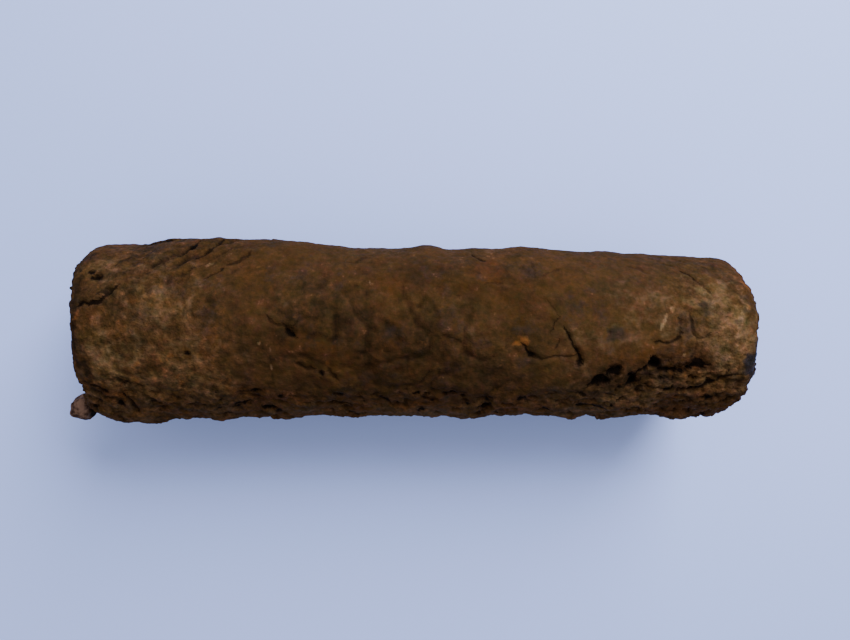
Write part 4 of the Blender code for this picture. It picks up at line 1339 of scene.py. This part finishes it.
@dataclass
class RustedPipe:
    """The pipe with its crust, as one closed mesh round wall and bore.

    Attributes:
        sides: Faces round the pipe.
        crust_rings: Rings of faces along the outside.
        bore_rings: Rings of faces along the bore.
        end_rings: Rings of faces over each end face and its rounded edges.
        wall_middle: Distance from the axis to the middle of the wall.
        end_inset: Distance from each end to where its rays start.
        edge_turns: How far over an end's edge, in radians, a ring counts as
            lying on the end face, and how far as lying on the outside.
        smoothing_rounds: How often the solid's facets are evened out.
        hollow_rounds: How often the relief is averaged to find its hollows.
        hollow_depth: Depth in millimetres that counts as a full hollow.
        finish: What the surface is dressed in.
    """

    sides: int = 284
    crust_rings: int = 276
    bore_rings: int = 32
    end_rings: int = 21
    wall_middle: float = 20.2 * MM
    end_inset: float = 4.6 * MM
    edge_turns: tuple[float, float] = (1.15, 0.55)
    smoothing_rounds: int = 9
    hollow_rounds: int = 10
    hollow_depth: float = 0.45
    finish: CrustFinish = field(default_factory=CrustFinish)

    def __post_init__(self) -> None:
        """Read the solid that the surface is grown over."""
        self.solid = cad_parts[PIPE]
        _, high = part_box(PIPE)
        self.middle = Vector((high.x - PIPE_LENGTH / 2, 0, 0))
        self.tree = BVHTree.FromObject(self.solid, bpy.context.evaluated_depsgraph_get())
        self.middle.y, self.middle.z = self.find_axis()

    def find_axis(self) -> tuple[float, float]:
        """Find the bore's axis from the flat ring at the square end.

        Returns:
            Where the axis lies across and above the floor, in metres.
        """
        points = np.array([vertex.co for vertex in self.solid.data.vertices])
        ring = points[points[:, 0] > points[:, 0].max() - 0.01 * MM]
        middle = (ring.min(axis=0) + ring.max(axis=0)) / 2
        return float(middle[1]), float(middle[2])

    def ring_rays(self) -> tuple[Array, Array, Array, Array]:
        """Where each ring's rays start along the pipe, and where they point.

        Returns:
            Start along the pipe, the ray's radial part, its part along the
            pipe, and how much of each ring lies on the outside.
        """
        half = PIPE_LENGTH / 2 - self.end_inset
        along_crust = np.linspace(-half, half, self.crust_rings, endpoint=False)
        rings = [(start, 1.0, 0.0, 1.0) for start in along_crust]
        for turn in np.linspace(0, np.pi, self.end_rings, endpoint=False):
            share = smooth_step(*self.edge_turns, turn)
            rings.append((half, np.cos(turn), np.sin(turn), share))
        along_bore = np.linspace(half, -half, self.bore_rings, endpoint=False)
        rings += [(start, -1.0, 0.0, 0.0) for start in along_bore]
        for turn in np.linspace(np.pi, 2 * np.pi, self.end_rings, endpoint=False):
            share = smooth_step(*self.edge_turns, 2 * np.pi - turn)
            rings.append((-half, np.cos(turn), np.sin(turn), share))
        starts, radial, axial, outside = np.array(rings).T
        return starts, radial, axial, outside

    def cast(self) -> Array:
        """Find the solid's surface along every ray.

        Returns:
            Points in metres, as rings by sides by X, Y and Z.
        """
        starts, radial, axial, _ = self.ring_rays()
        turns = np.arange(self.sides) * 2 * np.pi / self.sides
        grid = np.zeros((len(starts), self.sides, 3))
        for ring, (start, out, along) in enumerate(zip(starts, radial, axial)):
            room = np.clip(1 - (start + PIPE_LENGTH / 2) / LEAN_FADES_OVER, 0, 1)
            lean = END_LEAN * room * room * (3 - 2 * room)
            for side, turn in enumerate(turns):
                across, height = np.cos(turn), np.sin(turn)
                leaned = start + lean * self.wall_middle * height
                offset = Vector((leaned, self.wall_middle * across, self.wall_middle * height))
                origin = self.middle + offset
                hit = self.tree.ray_cast(origin, Vector((along, out * across, out * height)))[0]
                grid[ring, side] = hit if hit is not None else origin
        return grid

    def smoothed(self, grid: Array) -> Array:
        """Even out the solid's flat facets, most of all on the outside.

        Args:
            grid: The points that the rays hit.

        Returns:
            The smoothed points.
        """
        outside = self.ring_rays()[3][:, None, None]
        # The end faces and the bore keep more of the solid's own shape.
        strength = 0.12 + 0.88 * outside
        for _ in range(self.smoothing_rounds):
            around = (np.roll(grid, 1, 1) + np.roll(grid, -1, 1)) / 2
            lengthwise = (np.roll(grid, 1, 0) + np.roll(grid, -1, 0)) / 2
            grid = grid + 0.5 * strength * (around - grid) + 0.5 * strength * outside * (lengthwise - grid)
        return grid

    def read_ground(self, grid: Array) -> Ground:
        """Describe the grid's points for the relief.

        Args:
            grid: The points in metres.

        Returns:
            Their places on the pipe.
        """
        local = (grid - np.array(self.middle)) / MM
        angle = np.degrees(np.arctan2(local[..., 2], local[..., 1])) % 360
        _, radial, _, outside = self.ring_rays()
        bore = np.repeat(smooth_step(-0.75, -1.0, radial)[:, None], self.sides, 1)
        return Ground(local[..., 0], angle, local, np.repeat(outside[:, None], self.sides, 1), bore)

    @staticmethod
    def outward(grid: Array) -> Array:
        """Find the direction that faces out of the wall at each point.

        Args:
            grid: The points in metres.

        Returns:
            The directions, each of length 1.
        """
        around = np.roll(grid, -1, 1) - np.roll(grid, 1, 1)
        lengthwise = np.roll(grid, -1, 0) - np.roll(grid, 1, 0)
        normal = np.cross(around, lengthwise)
        return normal / np.maximum(np.linalg.norm(normal, axis=-1, keepdims=True), 1e-12)

    @staticmethod
    def blurred(height: Array, rounds: int) -> Array:
        """Average the height over the points round each one.

        Args:
            height: The height of each point.
            rounds: How often it is averaged over the nearest ones.

        Returns:
            The averaged height.
        """
        for _ in range(rounds):
            height = (height + np.roll(height, 1, 0) + np.roll(height, -1, 0)) / 3
            height = (height + np.roll(height, 1, 1) + np.roll(height, -1, 1)) / 3
        return height

    def build(self) -> bpy.types.Object:
        """Build the rusted surface and dress it.

        Returns:
            The new object, which stands for the pipe's solid.
        """
        grid = self.smoothed(self.cast())
        relief = CrustRelief(self.read_ground(grid))
        height = relief.height()
        grid = grid + self.outward(grid) * height[..., None] * MM
        # How deep each place lies in a hollow, where the finish paints shade.
        below = self.blurred(height, self.hollow_rounds) - height
        hollow = smooth_step(0.0, self.hollow_depth, below)
        layers = relief.lay_layers(hollow)
        mesh = self.make_mesh(grid, "rusted_pipe")
        for layer, mask in layers.items():
            mesh.attributes.new(layer.value, "FLOAT", "POINT").data.foreach_set("value", mask.ravel())
        mesh.materials.append(self.finish.material())
        piece = bpy.data.objects.new("rusted_pipe", mesh)
        bpy.context.scene.collection.objects.link(piece)
        return piece

    @staticmethod
    def make_mesh(grid: Array, name: str) -> bpy.types.Mesh:
        """Join a grid that closes both ways into a mesh.

        Args:
            grid: Points as rings by sides by X, Y and Z.
            name: The mesh's name.

        Returns:
            The new mesh, shaded smooth.
        """
        rings, sides = grid.shape[:2]
        ring, side = np.meshgrid(np.arange(rings), np.arange(sides), indexing="ij")
        next_ring, next_side = (ring + 1) % rings, (side + 1) % sides
        corners = ((ring, side), (ring, next_side), (next_ring, next_side), (next_ring, side))
        faces = np.stack([row * sides + column for row, column in corners], axis=-1).reshape(-1, 4)
        mesh = bpy.data.meshes.new(name)
        mesh.from_pydata(grid.reshape(-1, 3).tolist(), [], faces.tolist())
        mesh.shade_smooth()
        mesh.update()
        return mesh


@dataclass
class Pebble:
    """The stone that the rust holds at the pipe's left end.

    Attributes:
        fineness: Rounds of splitting the ball that the stone is shaped from.
        broken_faces: Which way each broken face looks, and its distance from
            the middle as a share of the stone's half size.
        edge_sharpness: How sharply one face runs into the next.
        longest_reach: How far a corner may stand out, in half sizes.
        wave_height: Height of the stone's waves, in millimetres.
        chip_height: Height of its small chips, in millimetres.
        worn_off: Millimetres that the whole surface is set in.
        finish: What the stone is dressed in.
    """

    fineness: int = 5
    broken_faces: tuple[tuple[float, float, float, float], ...] = (
        (-1.0, 0.06, 0.1, 0.9),
        (-0.45, 0.85, 0.2, 0.86),
        (0.1, 1.0, 0.1, 0.95),
        (0.9, 0.3, 0.2, 0.9),
        (0.75, -0.75, 0.1, 0.9),
        (-0.1, -1.0, 0.1, 0.93),
        (-0.35, -0.95, 0.2, 0.92),
        (-0.35, 0.15, 1.0, 0.86),
        (0.5, -0.2, 0.9, 0.84),
        (0.0, -0.7, 0.75, 0.9),
        (0.1, 0.2, -1.0, 0.9),
        (-0.6, -0.3, -0.8, 0.88),
    )
    edge_sharpness: float = 30.0
    longest_reach: float = 1.16
    wave_height: float = 0.35
    chip_height: float = 0.22
    worn_off: float = 0.05
    finish: PebbleFinish = field(default_factory=PebbleFinish)

    def build(self) -> bpy.types.Object:
        """Build the pebble in the space of its solid.

        Returns:
            The new object, which stands for the stone's solid.
        """
        low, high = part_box(STONE)
        half = np.array((high - low) / 2 / MM)
        shape = bmesh.new()
        bmesh.ops.create_icosphere(shape, subdivisions=self.fineness, radius=1)
        ways = np.array([vertex.co for vertex in shape.verts])
        faces = np.array(self.broken_faces)
        looks = faces[:, :3] / np.linalg.norm(faces[:, :3], axis=1, keepdims=True)
        closeness = np.clip(ways @ looks.T, 0.02, None) / faces[:, 3]
        reach = 1 / (closeness**self.edge_sharpness).sum(axis=1) ** (1 / self.edge_sharpness)
        points = ways * np.clip(reach, 0, self.longest_reach)[:, None] * half
        waves = self.wave_height * Noise(51).layered(points, 4, 2)
        chips = self.chip_height * Noise(52).layered(points, 1.5, 2)
        points = points + ways * (waves + chips - self.worn_off)[:, None]
        for vertex, point in zip(shape.verts, points):
            vertex.co = (low + high) / 2 + Vector(point) * MM
        mesh = bpy.data.meshes.new("river_pebble")
        shape.to_mesh(mesh)
        shape.free()
        stain = smooth_step(0.2, 1.1, ways[:, 0] - 0.35 * ways[:, 2])
        mesh.attributes.new(Layer.RUST.value, "FLOAT", "POINT").data.foreach_set("value", stain)
        mesh.materials.append(self.finish.material())
        mesh.shade_smooth()
        piece = bpy.data.objects.new("river_pebble", mesh)
        bpy.context.scene.collection.objects.link(piece)
        return piece


@dataclass
class Studio:
    """Floor, lights and camera, with the camera where the photo's was.

    Attributes:
        camera_place: The camera's place over the floor, in metres.
        camera_tilt: How far it leans forwards, sideways and turns, in degrees.
        focal_length: Focal length of the lens, in millimetres.
        sensor_width: Width of the camera's sensor, in millimetres.
        floor_size: Side of the square floor, in metres.
        floor_colour: The floor's colour, as sRGB hex like the others.
        floor_roughness: The floor's roughness.
        room_colour: Colour of the room's soft light.
        bright_side: Where the room is brightest.
        bright_from: How near to that side the room starts to brighten.
        dim_strength: The room's strength away from it.
        bright_strength: The room's strength at its brightest.
        window_place: Where the window hangs, in metres.
        window_aim: Where it points, in metres.
        window_size: The window's side, in metres.
        window_power: The window's power, in watts.
        window_colour: The window's colour.
    """

    camera_place: Point = (0.56 * MM, 14.74 * MM, 214.61 * MM)
    camera_tilt: Point = (3.3, 1.83, -0.68)
    focal_length: float = 26.68
    sensor_width: float = 36.0
    floor_size: float = 6.0
    floor_colour: str = "#ABC1F7"
    floor_roughness: float = 0.8
    room_colour: str = "#F3F1FF"
    bright_side: Point = (0.5, 0.4, 0.75)
    bright_from: float = -0.15
    dim_strength: float = 0.56
    bright_strength: float = 1.0
    window_place: Point = (0.28, 0.5, 0.48)
    window_aim: Point = (0.02, 0.0, 0.02)
    window_size: float = 0.5
    window_power: float = 12.3
    window_colour: str = "#F2F1FF"

    def build(self) -> None:
        """Build the floor, the lights and the camera."""
        self.build_floor()
        self.build_lights()
        self.build_camera()

    def build_floor(self) -> None:
        """Lay the plain pale floor that the pipe lies on."""
        shape = bmesh.new()
        bmesh.ops.create_grid(shape, x_segments=2, y_segments=2, size=self.floor_size / 2)
        mesh = bpy.data.meshes.new("floor")
        shape.to_mesh(mesh)
        shape.free()
        material = bpy.data.materials.new("matt_white_board")
        material.use_nodes = True
        surface = material.node_tree.nodes["Principled BSDF"]
        surface.inputs["Base Color"].default_value = linear(self.floor_colour)
        surface.inputs["Roughness"].default_value = self.floor_roughness
        mesh.materials.append(material)
        floor = bpy.data.objects.new("floor", mesh)
        bpy.context.scene.collection.objects.link(floor)

    def build_lights(self) -> None:
        """Hang a wide soft window behind the pipe, and light the room softly."""
        world = bpy.data.worlds.new("soft_room")
        world.use_nodes = True
        tree = world.node_tree
        fill = tree.nodes["Background"]
        way = add_node(tree, "ShaderNodeTexCoord").outputs["Generated"]
        toward = Vector(self.bright_side).normalized()
        ways = {0: way, 1: toward}
        facing = add_node(tree, VECTOR_MATH, {"operation": "DOT_PRODUCT"}, ways).outputs["Value"]
        brightens = {0: facing, 1: self.bright_from, 2: 1.0, 3: self.dim_strength, 4: self.bright_strength}
        strength = add_node(tree, MAP_RANGE, None, brightens).outputs[0]
        fill.inputs["Color"].default_value = linear(self.room_colour)
        tree.links.new(strength, fill.inputs["Strength"])
        bpy.context.scene.world = world
        self.hang_window()

    def hang_window(self) -> None:
        """Hang the square window, and turn it towards the pipe."""
        light = bpy.data.lights.new("window", "AREA")
        light.shape = "SQUARE"
        light.size = self.window_size
        light.energy = self.window_power
        light.color = linear(self.window_colour)[:3]
        window = bpy.data.objects.new("window", light)
        aim = Vector(self.window_aim) - Vector(self.window_place)
        window.location = self.window_place
        window.rotation_euler = aim.to_track_quat("-Z", "Y").to_euler()
        bpy.context.scene.collection.objects.link(window)

    def build_camera(self) -> None:
        """Set the camera where the photo was taken from."""
        camera = bpy.data.cameras.new("camera")
        camera.sensor_width = self.sensor_width
        camera.lens = self.focal_length
        camera.clip_start = 0.01
        holder = bpy.data.objects.new("camera", camera)
        forwards, sideways, roll = (np.radians(angle) for angle in self.camera_tilt)
        turned = Matrix.Rotation(roll, 4, "Z") @ Matrix.Rotation(sideways, 4, "Y")
        turned = turned @ Matrix.Rotation(forwards, 4, "X")
        holder.matrix_world = Matrix.Translation(self.camera_place) @ turned.transposed()
        bpy.context.scene.collection.objects.link(holder)
        bpy.context.scene.camera = holder


def attach(piece: bpy.types.Object, node: str) -> None:
    """Let a piece stand for a solid, and report it.

    Args:
        piece: The dressed piece.
        node: The solid's name.
    """
    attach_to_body(piece, "root")
    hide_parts(node)
    LOG.info("%s stands for %s with %d faces", piece.name, node, len(piece.data.polygons))


def main() -> None:
    """Build every piece in order, and note the model's size."""
    logging.basicConfig(level=logging.INFO, format="%(message)s")
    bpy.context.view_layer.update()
    attach(RustedPipe().build(), PIPE)
    attach(Pebble().build(), STONE)
    Studio().build()


if __name__ == "__main__":
    main()
